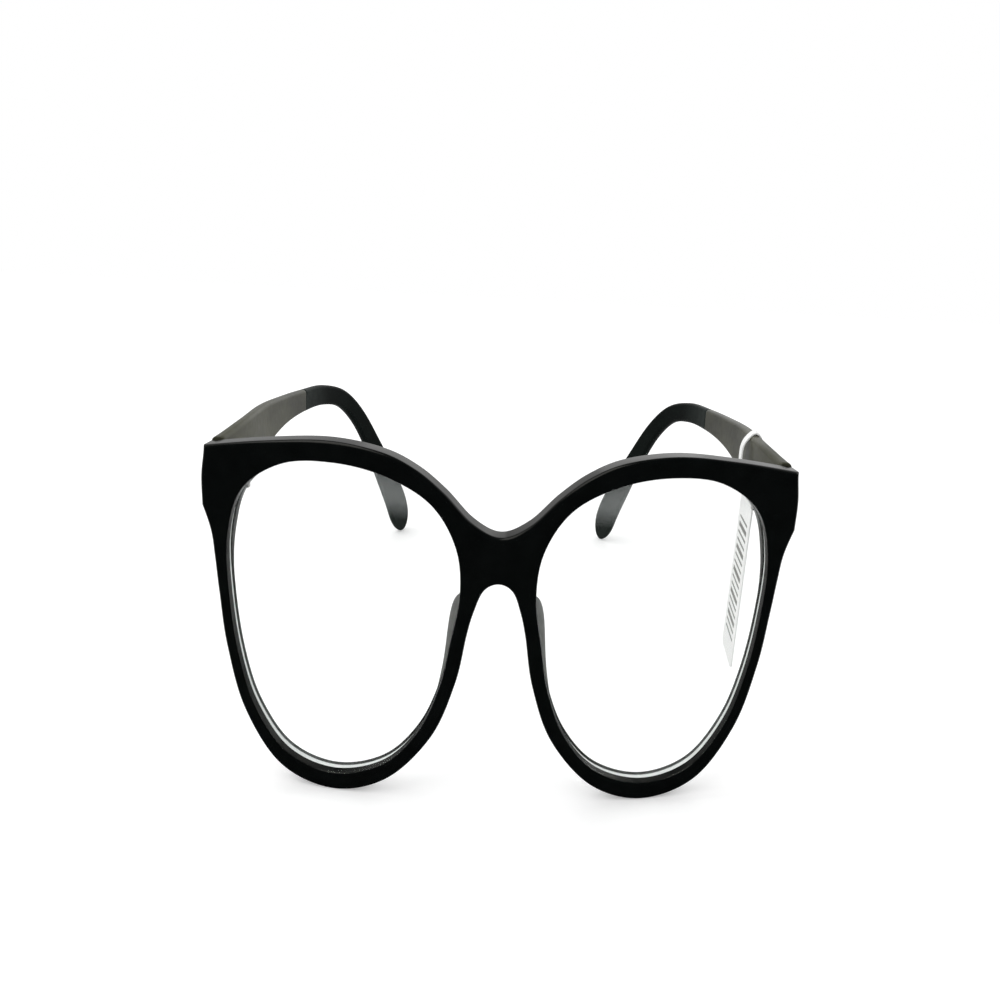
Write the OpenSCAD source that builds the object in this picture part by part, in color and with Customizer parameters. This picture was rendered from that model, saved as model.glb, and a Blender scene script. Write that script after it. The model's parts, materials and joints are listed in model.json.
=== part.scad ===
/* [Front] */
// Overall width of the front across its end pieces
front_w = 122.4; // [114:0.4:130]
// Height of the front from its rest flats to the top of the brow
front_h = 78.2; // [72:0.2:82]
// Thickness of the front at the brow and end pieces
front_t = 4; // [3.8:0.1:4.4]
// Thickness of the rims at their lowest point
rim_t = 3; // [2.9:0.1:3.3]
// Radius of the front's curve around the face
wrap_r = 300; // [260:10:360]
// Rounding of the front's outer edge
edge_r = 0.9; // [0.6:0.1:1.1]
// Depth to which the underside of each rim is cut flat
rest_cut = 0.25; // [0.15:0.05:0.4]

/* [Lenses] */
// Thickness of a lens
lens_t = 1.1; // [1:0.05:1.15]
// How far a lens sits behind the front face
lens_set = 1.5; // [1.3:0.05:1.6]
// Thickness of the lip behind a lens
lip_t = 0.35; // [0.3:0.05:0.4]
// How far the lens edge goes into the rim
lens_seat = 0.6; // [0.4:0.05:0.7]
// Clearance between the lens edge and the bottom of its groove
groove_gap = 0.2; // [0.1:0.05:0.3]

/* [Nose pads] */
// How far a pad stands behind the front
pad_reach = 5.5; // [4.5:0.5:6.5]
// Thickness of a pad at its root
pad_t = 2.2; // [1.8:0.1:2.6]
// Angle by which a pad leans away from the nose
pad_splay = 22; // [16:2:28]

/* [Temples] */
// Distance from the temple's front end to the end of its tip
temple_reach = 117; // [112:1:124]
// Distance from the temple's front end to the seam between arm and tip
seam_at = 54; // [50:1:58]
// Thickness of the arm where it meets the front
arm_t = 2.9; // [2.7:0.1:3.1]
// Width of the open seam between arm and tip
seam_gap = 0.12; // [0.08:0.02:0.2]
// Thickness of the metal core
core_t = 1; // [0.8:0.1:1.1]
// Height of the metal core
core_h = 2; // [1.6:0.1:2.2]
// Clearance around the metal core
core_gap = 0.05; // [0.03:0.01:0.08]
// How far the metal core reaches into the arm
core_in = 24; // [16:1:30]
// Distance from the end of the metal core to the end of the tip
core_stop = 8; // [6:0.5:12]

/* [Hinges] */
// Diameter of the hinge knuckles
barrel_d = 3; // [2.8:0.1:3.1]
// Diameter of the hinge screw
screw_d = 1.4; // [1.2:0.1:1.5]
// Radial clearance of the screw in the knuckles that turn
run_gap = 0.05; // [0.03:0.01:0.08]
// Height of the whole stack of knuckles
stack_h = 7.6; // [7:0.1:8]
// Gap between one knuckle and the next
knuckle_gap = 0.05; // [0.03:0.01:0.1]
// Thickness of a hinge leaf
leaf_t = 0.9; // [0.8:0.05:1]
// Diameter of the small leaf screws
pin_d = 1.1; // [0.9:0.1:1.2]
// Clearance of a leaf screw in its holes
pin_gap = 0.03; // [0.02:0.01:0.05]

/* [Stock tag] */
// Width of the hanging card
tag_w = 10.5; // [9:0.5:11]
// Length of the hanging card
tag_l = 40; // [34:1:44]
// Thickness of the card and its strap
tag_t = 0.3; // [0.25:0.05:0.4]
// Width of the strap that holds the card
strap_w = 2.2; // [1.8:0.1:2.6]
// Distance from the temple's front end to the strap
strap_at = 18.5; // [17:0.5:21]

/* [Hidden] */

// Lens opening of the left half, clockwise from beside the bridge: across, up
opening_pts = [
    [8.7, 58], [13.8, 66.8], [22.7, 71.95], [33, 73.95], [43.5, 72.8], [52.1, 66.6],
    [55.6, 56.1], [55.7, 43], [54.1, 29.2], [50.7, 17.5], [43.9, 7.75], [33.6, 4.3],
    [22.9, 7.7], [15.5, 16.2], [11.2, 27.2], [9.25, 37.5], [7.65, 48]
];
// Outer edge of the left half in three runs: across, up, place on the opening that it pairs with
brow_pts = [
    [-5.6, 63.3, -0.4], [0, 60.65, 0.2], [5.6, 63.3, 0.7], [11.2, 69.1, 1.15], [17, 73.7, 1.6],
    [24, 76.8, 2.2], [34.5, 78.2, 3.1], [47, 77.1, 4.25], [60.2, 74.9, 5.05], [73, 72.4, 5.8]
];
side_pts = [[60, 82, 4.4], [60.2, 74.9, 5.05], [61.1, 68.6, 5.4], [61.2, 62.2, 5.7], [61.2, 56, 6]];
rim_pts = [
    [63.5, 68, 5.4], [61.2, 62.2, 5.7], [59.5, 56.7, 6.0], [58.9, 51, 6.4], [58.3, 43.5, 6.95],
    [57, 31, 7.9], [53.4, 16.4, 9.05], [45.5, 4.2, 10.1], [33.6, 0, 11],
    [21.9, 4, 12.05], [12.7, 14.9, 13.1], [8, 27.7, 14.05], [5.95, 39.1, 15],
    [4.7, 44.4, 15.45], [2.9, 49.1, 15.9], [0, 50.7, 16.3], [-2.9, 49.1, 16.7]
];
// The outlines are stretched from their drawn width and height to the chosen ones
draw_w = 2 * side_pts[3][0];
draw_h = brow_pts[6][1];
sx = front_w / draw_w;
sz = front_h / draw_h;
// Steps along each run, and across the bridge
brow_n = 27;
side_n = 5;
rim_n = 50;
bridge_n = 5;

// Position on a smooth curve between p1 and p2
function smooth(p0, p1, p2, p3, t) =
    0.5 * (2 * p1 + (p2 - p0) * t + (2 * p0 - 5 * p1 + 4 * p2 - p3) * t * t
        + (3 * p1 - p0 - 3 * p2 + p3) * t * t * t);
// Position on a closed curve through all the points
function on_closed(p, u) =
    let (n = len(p), i = floor(u), t = u - i)
    smooth(p[(i - 1 + 2 * n) % n], p[(i + 2 * n) % n], p[(i + 1 + 2 * n) % n], p[(i + 2 + 2 * n) % n], t);
// Position on an open curve, whose first and last points only steer its ends
function on_open(p, u) =
    let (i = max(0, min(len(p) - 4, floor(u))), t = u - i)
    smooth(p[i], p[i + 1], p[i + 2], p[i + 3], t);
function unit(v) = v / norm(v);
// Normal to the right of the direction of travel
function right_of(d) = unit([d[1], -d[0]]);
function spread(p) = [p[0] * sx, p[1] * sz];
function opening(u) = spread(on_closed(opening_pts, u));
// Normal of the opening that points into the rim
function opening_normal(u) = -right_of(opening(u + 0.01) - opening(u - 0.01));
function run_at(p, u) = let (q = on_open(p, u)) [q[0] * sx, q[1] * sz, q[2]];
function flat2(p) = [p[0], p[1]];
function run_normal(p, u) = right_of(flat2(run_at(p, u + 0.005) - run_at(p, u - 0.005)));
// Direction in which both edges of a corner move in by the same amount
function mitre(a, b) = (a + b) / (1 + a * b);

// One station: point on the opening, point on the outer edge, inward direction there, place on the opening
function station(q, m) = [opening(q[2]), [abs(q[0]) < 0.001 ? 0 : q[0], q[1]], m, q[2]];
function run_stations(p, n, from) =
    [for (k = [from:n - 1]) let (u = k * (len(p) - 3) / n) station(run_at(p, u), run_normal(p, u))];
brow_end = len(brow_pts) - 3;
side_end = len(side_pts) - 3;
rim_end = len(rim_pts) - 3;
valley = station(run_at(brow_pts, 0), [0, -1]);
top_corner = station(run_at(side_pts, 0), mitre(run_normal(brow_pts, brow_end - 0.01), run_normal(side_pts, 0.01)));
low_corner = station(run_at(rim_pts, 0), mitre(run_normal(side_pts, side_end - 0.01), run_normal(rim_pts, 0.01)));
arch = station(run_at(rim_pts, rim_end), [0, 1]);
bridge = [
    for (k = [1:bridge_n - 1])
        let (t = k / bridge_n, z = arch[1][1] + (valley[1][1] - arch[1][1]) * (0.12 + 0.76 * t))
        station([0, z, 16.3 + 0.9 * t], [0, 0])
];
stations = concat(
    [valley], run_stations(brow_pts, brow_n, 1),
    [top_corner], run_stations(side_pts, side_n, 1),
    [low_corner], run_stations(rim_pts, rim_n, 1), [arch], bridge
);

// How far the face falls back at a distance from the middle
function wrap(x) = wrap_r - sqrt(wrap_r * wrap_r - x * x);
// Point of the front at a place in its outline and a depth behind its face
function front_point(p, depth) = [p[0], wrap(p[0]) + depth, p[1]];

// Value that eases from low to high between two heights
function eased(z, low_z, high_z, low, high) =
    let (t = max(0, min(1, (z - low_z) / (high_z - low_z))))
    low + (high - low) * t * t * (3 - 2 * t);
// The front thins from the brow down to the foot of the rims, and ends in a thin lip behind each lens
function thickness(p) = eased(p[1], 0.2 * front_h, 0.72 * front_h, rim_t, front_t);
function lip_back(p) = eased(p[1], 0.58 * front_h, 0.76 * front_h, groove_back + lip_t, front_t);

inner_bevel = 0.3;
lip_bevel = 0.12;
lip_slope = 1;
back_r = 0.7 * edge_r;
groove_front = lens_set - 0.05;
groove_back = lens_set + lens_t + 0.05;
groove_depth = lens_seat + groove_gap;
function rim_section(s) =
    let (i = s[0], n = opening_normal(s[3]), o = s[1], m = s[2], it = lip_back(i), ot = thickness(o))
    [
        front_point(i + n * inner_bevel, 0), front_point(i, inner_bevel),
        front_point(i, groove_front), front_point(i + n * groove_depth, groove_front),
        front_point(i + n * groove_depth, groove_back), front_point(i, groove_back),
        front_point(i, it - lip_bevel), front_point(i + n * lip_bevel, it),
        front_point(i + n * lip_slope, thickness(i)),
        front_point(o + m * back_r, ot), front_point(o + m * back_r * 0.3, ot - back_r * 0.3),
        front_point(o, ot - back_r), front_point(o, edge_r),
        front_point(o + m * edge_r * 0.3, edge_r * 0.3), front_point(o + m * edge_r, 0)
    ];
section_n = 15;
// First and last points of the outer wall, which the two halves of the bridge don't have
wall_from = 9;
wall_to = 13;
function flip_x(p) = [p[0] == 0 ? 0 : -p[0], p[1], p[2]];
function reversed(f) = [for (k = [len(f) - 1:-1:0]) f[k]];

module front_body() {
    half = [for (s = stations) each rim_section(s)];
    n = len(stations);
    faces = [
        for (i = [0:n - 1])
            let (j = (i + 1) % n, shared = stations[i][1][0] == 0 && stations[j][1][0] == 0)
            for (k = [0:section_n - 1])
                if (!shared || k < wall_from || k > wall_to)
                    let (l = (k + 1) % section_n)
                    [i * section_n + k, j * section_n + k, j * section_n + l, i * section_n + l]
    ];
    polyhedron(
        concat(half, [for (p = half) flip_x(p)]),
        concat(faces, [for (f = faces) [for (v = reversed(f)) v + len(half)]])
    );
}

// How far a bore runs past what it goes through, and how deep the floor cut of a tip is
past = 1;
tip_cut = 6;

// Hinge: its axis stands at the back of the end piece, just inside the arm
// The arm stands in from the side of the front, and the axis in from the arm and off its leaf
arm_in = 0.65;
axis_in = 1.95;
axis_off = 0.95;
front_leaf_in = 3.1;
web_t = 2.4;
arm_x = front_w / 2 - arm_in - arm_t / 2;
hinge_x = arm_x - arm_t / 2 - axis_in;
pocket_y = wrap(hinge_x - front_leaf_in) + front_t;
hinge_y = pocket_y + leaf_t + barrel_d / 2 + axis_off;
end_low = run_at(rim_pts, 0)[1] - rest_cut;
end_top = run_at(side_pts, 0)[1] - rest_cut;
barrel_r = barrel_d / 2;
knuckle_h = (stack_h - 2 * knuckle_gap) / 3;
// The stack ends just below the top of the end piece, and the leaves stand lower
stack_drop = 1.05;
leaf_drop = 0.35;
stack_low = end_top - stack_drop - stack_h;
leaf_h = 5.6;
leaf_low = stack_low + knuckle_h + knuckle_gap + knuckle_h - leaf_drop - leaf_h;
leaf_mid = leaf_low + leaf_h / 2;
pin_z = 1.5;
front_pin_x = hinge_x - 2.1;
pin_l = 2.6;
arm_pin_l = 2.1;
front_leaf_w = 4.7;
front_leaf_x = hinge_x - front_leaf_in;

// The front leaf reaches up to the top knuckle
front_leaf_h = stack_low + stack_h - leaf_low;

// The temple's front end clears the back of the end piece
arm_gap = 0.12;
temple_y = wrap(front_w / 2) + front_t + arm_gap;
depth = temple_y + temple_reach;

// The whole object stands with the middle of its footprint at the origin
module placed(side = 1) {
    translate([0, -depth / 2, 0]) mirror([side < 0 ? 1 : 0, 0, 0]) children();
}

module along_y(p, r, l) {
    translate(p) rotate([-90, 0, 0]) cylinder(r = r, h = l, $fn = 32);
}
module along_x(p, r, l) {
    translate(p) rotate([0, 90, 0]) cylinder(r = r, h = l, $fn = 32);
}

module front_cuts() {
    translate([front_leaf_x - 0.1, pocket_y, leaf_low - 0.1])
        cube([front_leaf_w + 0.2, 4, front_leaf_h + 0.2]);
    for (s = [-1, 1])
        along_y([front_pin_x, pocket_y - pin_l + leaf_t, leaf_mid + s * pin_z], pin_d / 2 + pin_gap, pin_l);
}
module front_frame() {
    color("#0a0c0c") placed() difference() {
        translate([0, 0, -rest_cut]) front_body();
        translate([-front_w / 2, -1, -4]) cube([front_w, 12, 4]);
        front_cuts();
        mirror([1, 0, 0]) front_cuts();
    }
}

module lens(side) {
    outline = [for (s = stations) s[0] + opening_normal(s[3]) * lens_seat];
    back = wrap(front_w / 2) + lens_set + lens_t;
    color("#e8f0f0", 0.35) placed(side) intersection() {
        translate([0, back, -rest_cut]) rotate([90, 0, 0]) linear_extrude(back) polygon(outline);
        difference() {
            translate([0, wrap_r + lens_set, 0]) cylinder(r = wrap_r, h = front_h, $fn = 480);
            translate([0, wrap_r + lens_set + lens_t, -1]) cylinder(r = wrap_r, h = front_h + 2, $fn = 480);
        }
    }
}
module lens_right() { lens(-1); }
module lens_left() { lens(1); }

// Solid through a row of rings with the same number of points, closed at both ends
module loft(rings) {
    n = len(rings[0]);
    m = len(rings);
    polyhedron(
        [for (r = rings) each r],
        concat(
            [[for (k = [n - 1:-1:0]) k]],
            [for (i = [0:m - 2]) for (k = [0:n - 1])
                [i * n + k, i * n + (k + 1) % n, (i + 1) * n + (k + 1) % n, (i + 1) * n + k]],
            [[for (k = [0:n - 1]) (m - 1) * n + k]]
        )
    );
}

// Nose pads: a leaf-shaped fin on the back of the rim, from pad_low to pad_high along its nose side
pad_low = 9.45;
pad_high = 12.5;
pad_n = 14;
pad_root_in = 1.7;
// Height of a pad's edge at its two pointed ends
pad_edge = 0.5;
function pad_ring(w) =
    let (
        u = pad_low + (pad_high - pad_low) * w,
        q = flat2(run_at(rim_pts, u)),
        m = run_normal(rim_pts, u),
        reach = pad_edge + (pad_reach - pad_edge) * pow(sin(180 * w), 1.2),
        root = q + m * pad_root_in,
        half_t = pad_t / 2,
        lean = m * sin(pad_splay),
        back = cos(pad_splay),
        side = m * cos(pad_splay),
        drop = sin(pad_splay),
        back_y = thickness(root) + 0.02,
        fin = [[0.35, 0.95], [0.7, 0.8], [0.92, 0.55], [1, 0.2], [1, -0.2], [0.92, -0.55], [0.7, -0.8], [0.35, -0.95]]
    )
    concat(
        [front_point(root + m * half_t, back_y)],
        [for (f = fin)
            let (p = root + lean * reach * f[0] + side * half_t * f[1])
            [p[0], wrap(root[0]) + back_y + back * reach * f[0] + drop * half_t * (1 - f[1]), p[1]]],
        [front_point(root - m * half_t, back_y)]
    );
module nose_pad(side) {
    color("#8a8d88") placed(side) translate([0, 0, -rest_cut])
        loft([for (k = [pad_n:-1:0]) pad_ring(0.02 + 0.96 * k / pad_n)]);
}
module nose_pad_right() { nose_pad(-1); }
module nose_pad_left() { nose_pad(1); }

// Knuckles are counted from the bottom: 0 and 2 belong to the front, 1 to the temple
function knuckle_z(k) = stack_low + k * (knuckle_h + knuckle_gap);
module knuckle(k) {
    translate([hinge_x, hinge_y, knuckle_z(k)]) cylinder(r = barrel_r, h = knuckle_h, $fn = 48);
}
module knuckle_bore(r) {
    translate([hinge_x, hinge_y, stack_low - past]) cylinder(r = r, h = stack_h + 2 * past, $fn = 48);
}
module front_hinge_leaf(side) {
    color("#a8a8a2") placed(side) difference() {
        union() {
            translate([front_leaf_x, pocket_y, leaf_low]) cube([front_leaf_w, leaf_t, front_leaf_h]);
            for (k = [0, 2]) {
                knuckle(k);
                translate([hinge_x - web_t / 2, pocket_y, knuckle_z(k)])
                    cube([web_t, hinge_y - pocket_y, knuckle_h]);
            }
        }
        knuckle_bore(screw_d / 2 + 0.02);
        for (s = [-1, 1])
            along_y([front_pin_x, pocket_y - past, leaf_mid + s * pin_z],
                pin_d / 2 + pin_gap, leaf_t + 2 * past);
    }
}
module front_hinge_leaf_right() { front_hinge_leaf(-1); }
module front_hinge_leaf_left() { front_hinge_leaf(1); }

// Small screw: a shank of length l and a low head
module leaf_screw(l) {
    cylinder(r = pin_d / 2, h = l, $fn = 32);
    translate([0, 0, l]) cylinder(r1 = pin_d * 0.75, r2 = pin_d * 0.55, h = 0.35, $fn = 32);
}
module front_leaf_screws(side) {
    color("#b5b5b0") placed(side) for (s = [-1, 1])
        translate([front_pin_x, pocket_y - pin_l + leaf_t, leaf_mid + s * pin_z])
            rotate([-90, 0, 0]) leaf_screw(pin_l);
}
module front_leaf_screws_right() { front_leaf_screws(-1); }
module front_leaf_screws_left() { front_leaf_screws(1); }

head_h = 0.5;
head_r = 1.25;
module hinge_screw(side) {
    top = stack_low + stack_h;
    color("#c2c2bc") placed(side) translate([hinge_x, hinge_y, 0]) difference() {
        union() {
            translate([0, 0, stack_low]) cylinder(r = screw_d / 2, h = stack_h + 0.1, $fn = 48);
            translate([0, 0, top]) cylinder(r = head_r, h = head_h, $fn = 48);
        }
        translate([-2, -0.15, top + 0.2]) cube([4, 0.3, 1]);
    }
}
module hinge_screw_right() { hinge_screw(-1); }
module hinge_screw_left() { hinge_screw(1); }

// Temples: distance behind their front end, outward shift, height, depth of section, thickness, twist
temple_pts = [
    [-12, 0, 69, 12.9, 2.9, 0], [0, 0, 68.7, 13.4, 2.9, 0], [12, 0.5, 69.7, 13, 2.8, 0],
    [26, 2.6, 70.6, 11, 2.7, 0], [40, 3.6, 71, 8.2, 2.7, 0], [54, 3.4, 70.7, 6.8, 2.7, 0],
    [67, 1.8, 69.8, 6.5, 2.8, 0], [78, -1.1, 66.2, 6.1, 2.9, 2], [87, -4.3, 57.5, 6.1, 3, 6],
    [96, -7.5, 44, 6.8, 3.1, 12], [104, -10.8, 28.9, 8.3, 3.2, 18], [110.8, -13.8, 14.4, 9.2, 3.2, 20],
    [115.4, -15.5, 0.3, 8.4, 3.2, 20], [118.4, -16.6, -10, 7, 3.2, 20]
];
temple_end = len(temple_pts) - 3;
// The rounded end of the tip reaches a little past the last point of its path
sy = temple_reach / (temple_pts[temple_end + 1][0] + 1.6);
st = arm_t / temple_pts[1][4];
function temple_at(u) =
    let (q = on_open(temple_pts, u))
    [arm_x + q[1], temple_y + q[0] * sy, q[2] * sz, q[3], q[4] * st, q[5]];
function spot(q) = [q[0], q[1], q[2]];
function heading(u) = unit(spot(temple_at(u + 0.01) - temple_at(u - 0.01)));
// Rounded rectangle of thickness t and height h on the temple's path
corner_n = 4;
function temple_ring(u, t, h) =
    let (
        d = heading(u),
        side = unit(cross(d, [0, 0, 1])),
        over = cross(side, d),
        twist = temple_at(u)[5],
        out = side * cos(twist) + over * sin(twist),
        up = over * cos(twist) - side * sin(twist),
        c = spot(temple_at(u)),
        r = min(0.42 * t, 0.42 * h)
    )
    [for (q = [0:3]) for (k = [0:corner_n - 1])
        let (
            a = 90 * q + 90 * k / (corner_n - 1),
            cx = (q == 0 || q == 3 ? 1 : -1) * (t / 2 - r),
            cz = (q < 2 ? 1 : -1) * (h / 2 - r)
        )
        c + out * (cx + r * cos(a)) + up * (cz + r * sin(a))];
function body_ring(u) = let (q = temple_at(u)) temple_ring(u, q[3 + 1], q[3]);
function core_ring(u, gap) = temple_ring(u, core_t + 2 * gap, core_h + 2 * gap);
// Place on the path, found from the distance behind the temple's front end
function path_u(s, low = 0, high = 11, n = 24) =
    n == 0 ? (low + high) / 2
        : let (mid = (low + high) / 2)
        (on_open(temple_pts, mid)[0] * sy < s ? path_u(s, mid, high, n - 1) : path_u(s, low, mid, n - 1));
seam_u = path_u(seam_at - seam_gap / 2);
tip_u = path_u(seam_at + seam_gap / 2);
// The core and its pockets turn at the same stations
seam_mid = path_u(seam_at);
core_from = path_u(seam_at - core_in);
core_to = path_u(temple_reach - core_stop);
core_arm = [for (k = [0:5]) core_from + (seam_mid - core_from) * k / 6];
core_tip = [for (k = [1:17]) seam_mid + (core_to - seam_mid) * k / 17];
arm_n = 14;
tip_n = 30;
end_n = 5;

// The temple leaf is let into the inner face of the arm by leaf_let
leaf_let = 0.4;
leaf_x = arm_x - arm_t / 2 + leaf_let - leaf_t;
leaf_y = hinge_y + 2;
leaf_l = 9;
arm_pin_y = hinge_y + 4.2;
arm_pin_step = 4.4;

module arm_cuts() {
    translate([arm_x - arm_t / 2 + leaf_let - 1.4, leaf_y - 0.1, leaf_low - 0.1])
        cube([1.4, leaf_l + 0.2, leaf_h + 0.2]);
    for (s = [0, 1])
        along_x([leaf_x, arm_pin_y + s * arm_pin_step, leaf_mid], pin_d / 2 + pin_gap, arm_pin_l + 0.1);
}
module temple_arm(side) {
    color("#6b665d") placed(side) difference() {
        loft(concat(
            [for (k = [0:arm_n]) body_ring(seam_u * k / arm_n)],
            [core_ring(seam_u, core_gap)],
            [for (k = [5:-1:1]) core_ring(core_arm[k], core_gap)],
            [core_ring(core_from - 0.02, core_gap)]
        ));
        arm_cuts();
    }
}
module temple_arm_right() { temple_arm(-1); }
module temple_arm_left() { temple_arm(1); }

module temple_core(side) {
    color("#b8b4a8") placed(side)
        loft([for (u = concat(core_arm, [seam_mid], core_tip)) core_ring(u, 0)]);
}
module temple_core_right() { temple_core(-1); }
module temple_core_left() { temple_core(1); }

// The tip is rounded off over its last stretch
round_from = temple_end - 0.75;
function end_ring(w) =
    let (u = round_from + (temple_end - round_from) * w, q = temple_at(u), k = sqrt(1 - 0.985 * w * w))
    temple_ring(u, q[4] * (0.35 + 0.65 * k), q[3] * k);
module temple_tip(side) {
    color("#16201e") placed(side) difference() {
        loft(concat(
            [core_ring(core_to + 0.02, core_gap)],
            [for (k = [15:-1:0]) core_ring(core_tip[k], core_gap)],
            [core_ring(tip_u, core_gap)],
            [for (k = [0:tip_n]) body_ring(tip_u + (round_from - tip_u) * k / tip_n)],
            [for (k = [1:end_n]) end_ring(sin(90 * k / end_n))]
        ));
        translate([0, depth / 2, -tip_cut]) cube([front_w, depth, tip_cut]);
    }
}
module temple_tip_right() { temple_tip(-1); }
module temple_tip_left() { temple_tip(1); }

// Leaf on the inner face of the arm, with a web to the knuckle that turns
module temple_hinge_leaf(side) {
    color("#a8a8a2") placed(side) difference() {
        union() {
            translate([leaf_x, leaf_y, leaf_low]) cube([leaf_t, leaf_l, leaf_h]);
            knuckle(1);
            translate([hinge_x, hinge_y, knuckle_z(1)])
                cube([leaf_x + leaf_t - leaf_let - 0.05 - hinge_x, leaf_y + 0.4 - hinge_y, knuckle_h]);
        }
        knuckle_bore(screw_d / 2 + run_gap);
        for (s = [0, 1])
            along_x([leaf_x - past, arm_pin_y + s * arm_pin_step, leaf_mid],
                pin_d / 2 + pin_gap, leaf_t + 2 * past);
    }
}
module temple_hinge_leaf_right() { temple_hinge_leaf(-1); }
module temple_hinge_leaf_left() { temple_hinge_leaf(1); }

module temple_leaf_screws(side) {
    color("#b5b5b0") placed(side) for (s = [0, 1])
        translate([leaf_x + arm_pin_l, arm_pin_y + s * arm_pin_step, leaf_mid])
            rotate([0, -90, 0]) leaf_screw(arm_pin_l);
}
module temple_leaf_screws_right() { temple_leaf_screws(-1); }
module temple_leaf_screws_left() { temple_leaf_screws(1); }

// Stock tag: a card that hangs inside the left arm, and a strap looped round the arm
strap_mid = temple_at(path_u(strap_at));
strap_way = heading(path_u(strap_at));
card_turn = 11;
card_off = 2;
card_far = [strap_mid[0] - arm_t / 2 - card_off, hinge_y + 1.6 + tag_w];
card_top = leaf_low - 1.6;
// Middle line of the strap from the card, over the arm and back: out, along, up from the arm's middle
strap_gap = 0.12;
strap_a = strap_mid[4] / 2 + tag_t / 2 + strap_gap;
strap_b = strap_mid[3] / 2 + tag_t / 2 + strap_gap;
strap_pts = [
    [-strap_a - 1.6, -7.5, -strap_b - 5], [-strap_a - 1.6, -5.2, -strap_b - 1.5],
    [-strap_a - 1.5, -1.8, -strap_b * 0.5], [-strap_a - 1.3, -0.2, strap_b * 0.1],
    [-strap_a - 0.85, 0, strap_b * 0.62], [-strap_a * 0.4, 0, strap_b + 0.08],
    [strap_a * 0.45, 0, strap_b + 0.02], [strap_a + 0.05, 0, strap_b * 0.7], [strap_a + 0.12, 0, 0],
    [strap_a + 0.18, 0, -strap_b * 0.7], [strap_a * 0.5, 0, -strap_b - 0.3], [-strap_a * 0.7, 0, -strap_b * 0.93 - 0.2],
    [-strap_a - 0.85, -0.5, -strap_b * 0.25], [-strap_a - 0.95, -0.5, strap_b * 0.2]
];
strap_end = len(strap_pts) - 3;
strap_half = 4;
function strap_ring(u) =
    let (
        d = unit(on_open(strap_pts, u + 0.02) - on_open(strap_pts, u - 0.02)),
        flat = unit(strap_way - d * (strap_way * d)),
        n = cross(flat, d),
        c = spot(strap_mid) + on_open(strap_pts, u)
    )
    [for (q = [[1, 1], [-1, 1], [-1, -1], [1, -1]]) c + flat * q[0] * strap_w / 2 + n * q[1] * tag_t / 2];
module strap(from, to, n) {
    loft([for (k = [0:n]) strap_ring(from + (to - from) * k / n)]);
}
module stock_tag() {
    color("#f4f4f2") placed() {
        strap(0, strap_half + 0.02, 14);
        strap(strap_half, strap_end, 22);
        translate([card_far[0], card_far[1], card_top - tag_l]) rotate(-card_turn)
            translate([-tag_t / 2, -tag_w, 0]) cube([tag_t, tag_w, tag_l]);
    }
}

front_frame();
lens_right();
lens_left();
nose_pad_right();
nose_pad_left();
front_hinge_leaf_right();
front_hinge_leaf_left();
front_leaf_screws_right();
front_leaf_screws_left();
hinge_screw_right();
hinge_screw_left();
temple_hinge_leaf_right();
temple_hinge_leaf_left();
temple_leaf_screws_right();
temple_leaf_screws_left();
temple_arm_right();
temple_arm_left();
temple_core_right();
temple_core_left();
temple_tip_right();
temple_tip_left();
stock_tag();
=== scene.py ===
import json
import math

import bmesh
import bpy
from mathutils import Euler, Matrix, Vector


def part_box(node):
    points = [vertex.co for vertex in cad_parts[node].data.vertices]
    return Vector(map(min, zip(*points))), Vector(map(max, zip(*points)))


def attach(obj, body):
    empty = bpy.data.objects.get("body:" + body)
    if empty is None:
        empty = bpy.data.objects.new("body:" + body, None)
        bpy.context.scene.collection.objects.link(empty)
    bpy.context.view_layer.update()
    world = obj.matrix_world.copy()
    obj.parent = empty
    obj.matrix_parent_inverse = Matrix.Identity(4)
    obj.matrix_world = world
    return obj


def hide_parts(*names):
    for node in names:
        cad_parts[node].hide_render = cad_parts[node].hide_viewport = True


bl_info = {
    "name": "Kids Eyeglasses",
    "version": (1, 0, 0),
    "blender": (4, 5, 0),
    "location": "View3D > Sidebar > Eyeglasses",
    "description": "Child's cat-eye eyeglasses with folding temples, on a white studio floor",
    "category": "Object",
}

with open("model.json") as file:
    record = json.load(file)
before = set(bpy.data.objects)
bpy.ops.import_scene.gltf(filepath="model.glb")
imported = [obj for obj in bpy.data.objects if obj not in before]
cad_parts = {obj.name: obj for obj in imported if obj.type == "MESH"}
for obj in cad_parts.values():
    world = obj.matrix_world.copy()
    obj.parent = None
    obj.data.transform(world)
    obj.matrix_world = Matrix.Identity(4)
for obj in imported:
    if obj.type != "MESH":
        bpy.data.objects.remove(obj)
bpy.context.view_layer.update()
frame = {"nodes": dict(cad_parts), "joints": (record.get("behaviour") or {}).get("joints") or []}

# Millimetre, the unit of the drawn outlines
MM = 0.001
SIDES = {"right": -1, "left": 1}
FRONT_LOW, FRONT_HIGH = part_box("front_frame")
FRONT_Y = FRONT_LOW.y
HINGE_AT = {j["child"]: Vector(j["pos_m"]) for j in frame["joints"]}

# Lens opening of the left half: across, up, in mm
OPENING = [
    (8.7, 58), (13.8, 66.8), (22.7, 71.95), (33, 73.95), (43.5, 72.8), (52.1, 66.6),
    (55.6, 56.1), (55.7, 43), (54.1, 29.2), (50.7, 17.5), (43.9, 7.75), (33.6, 4.3),
    (22.9, 7.7), (15.5, 16.2), (11.2, 27.2), (9.25, 37.5), (7.65, 48),
]
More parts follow.
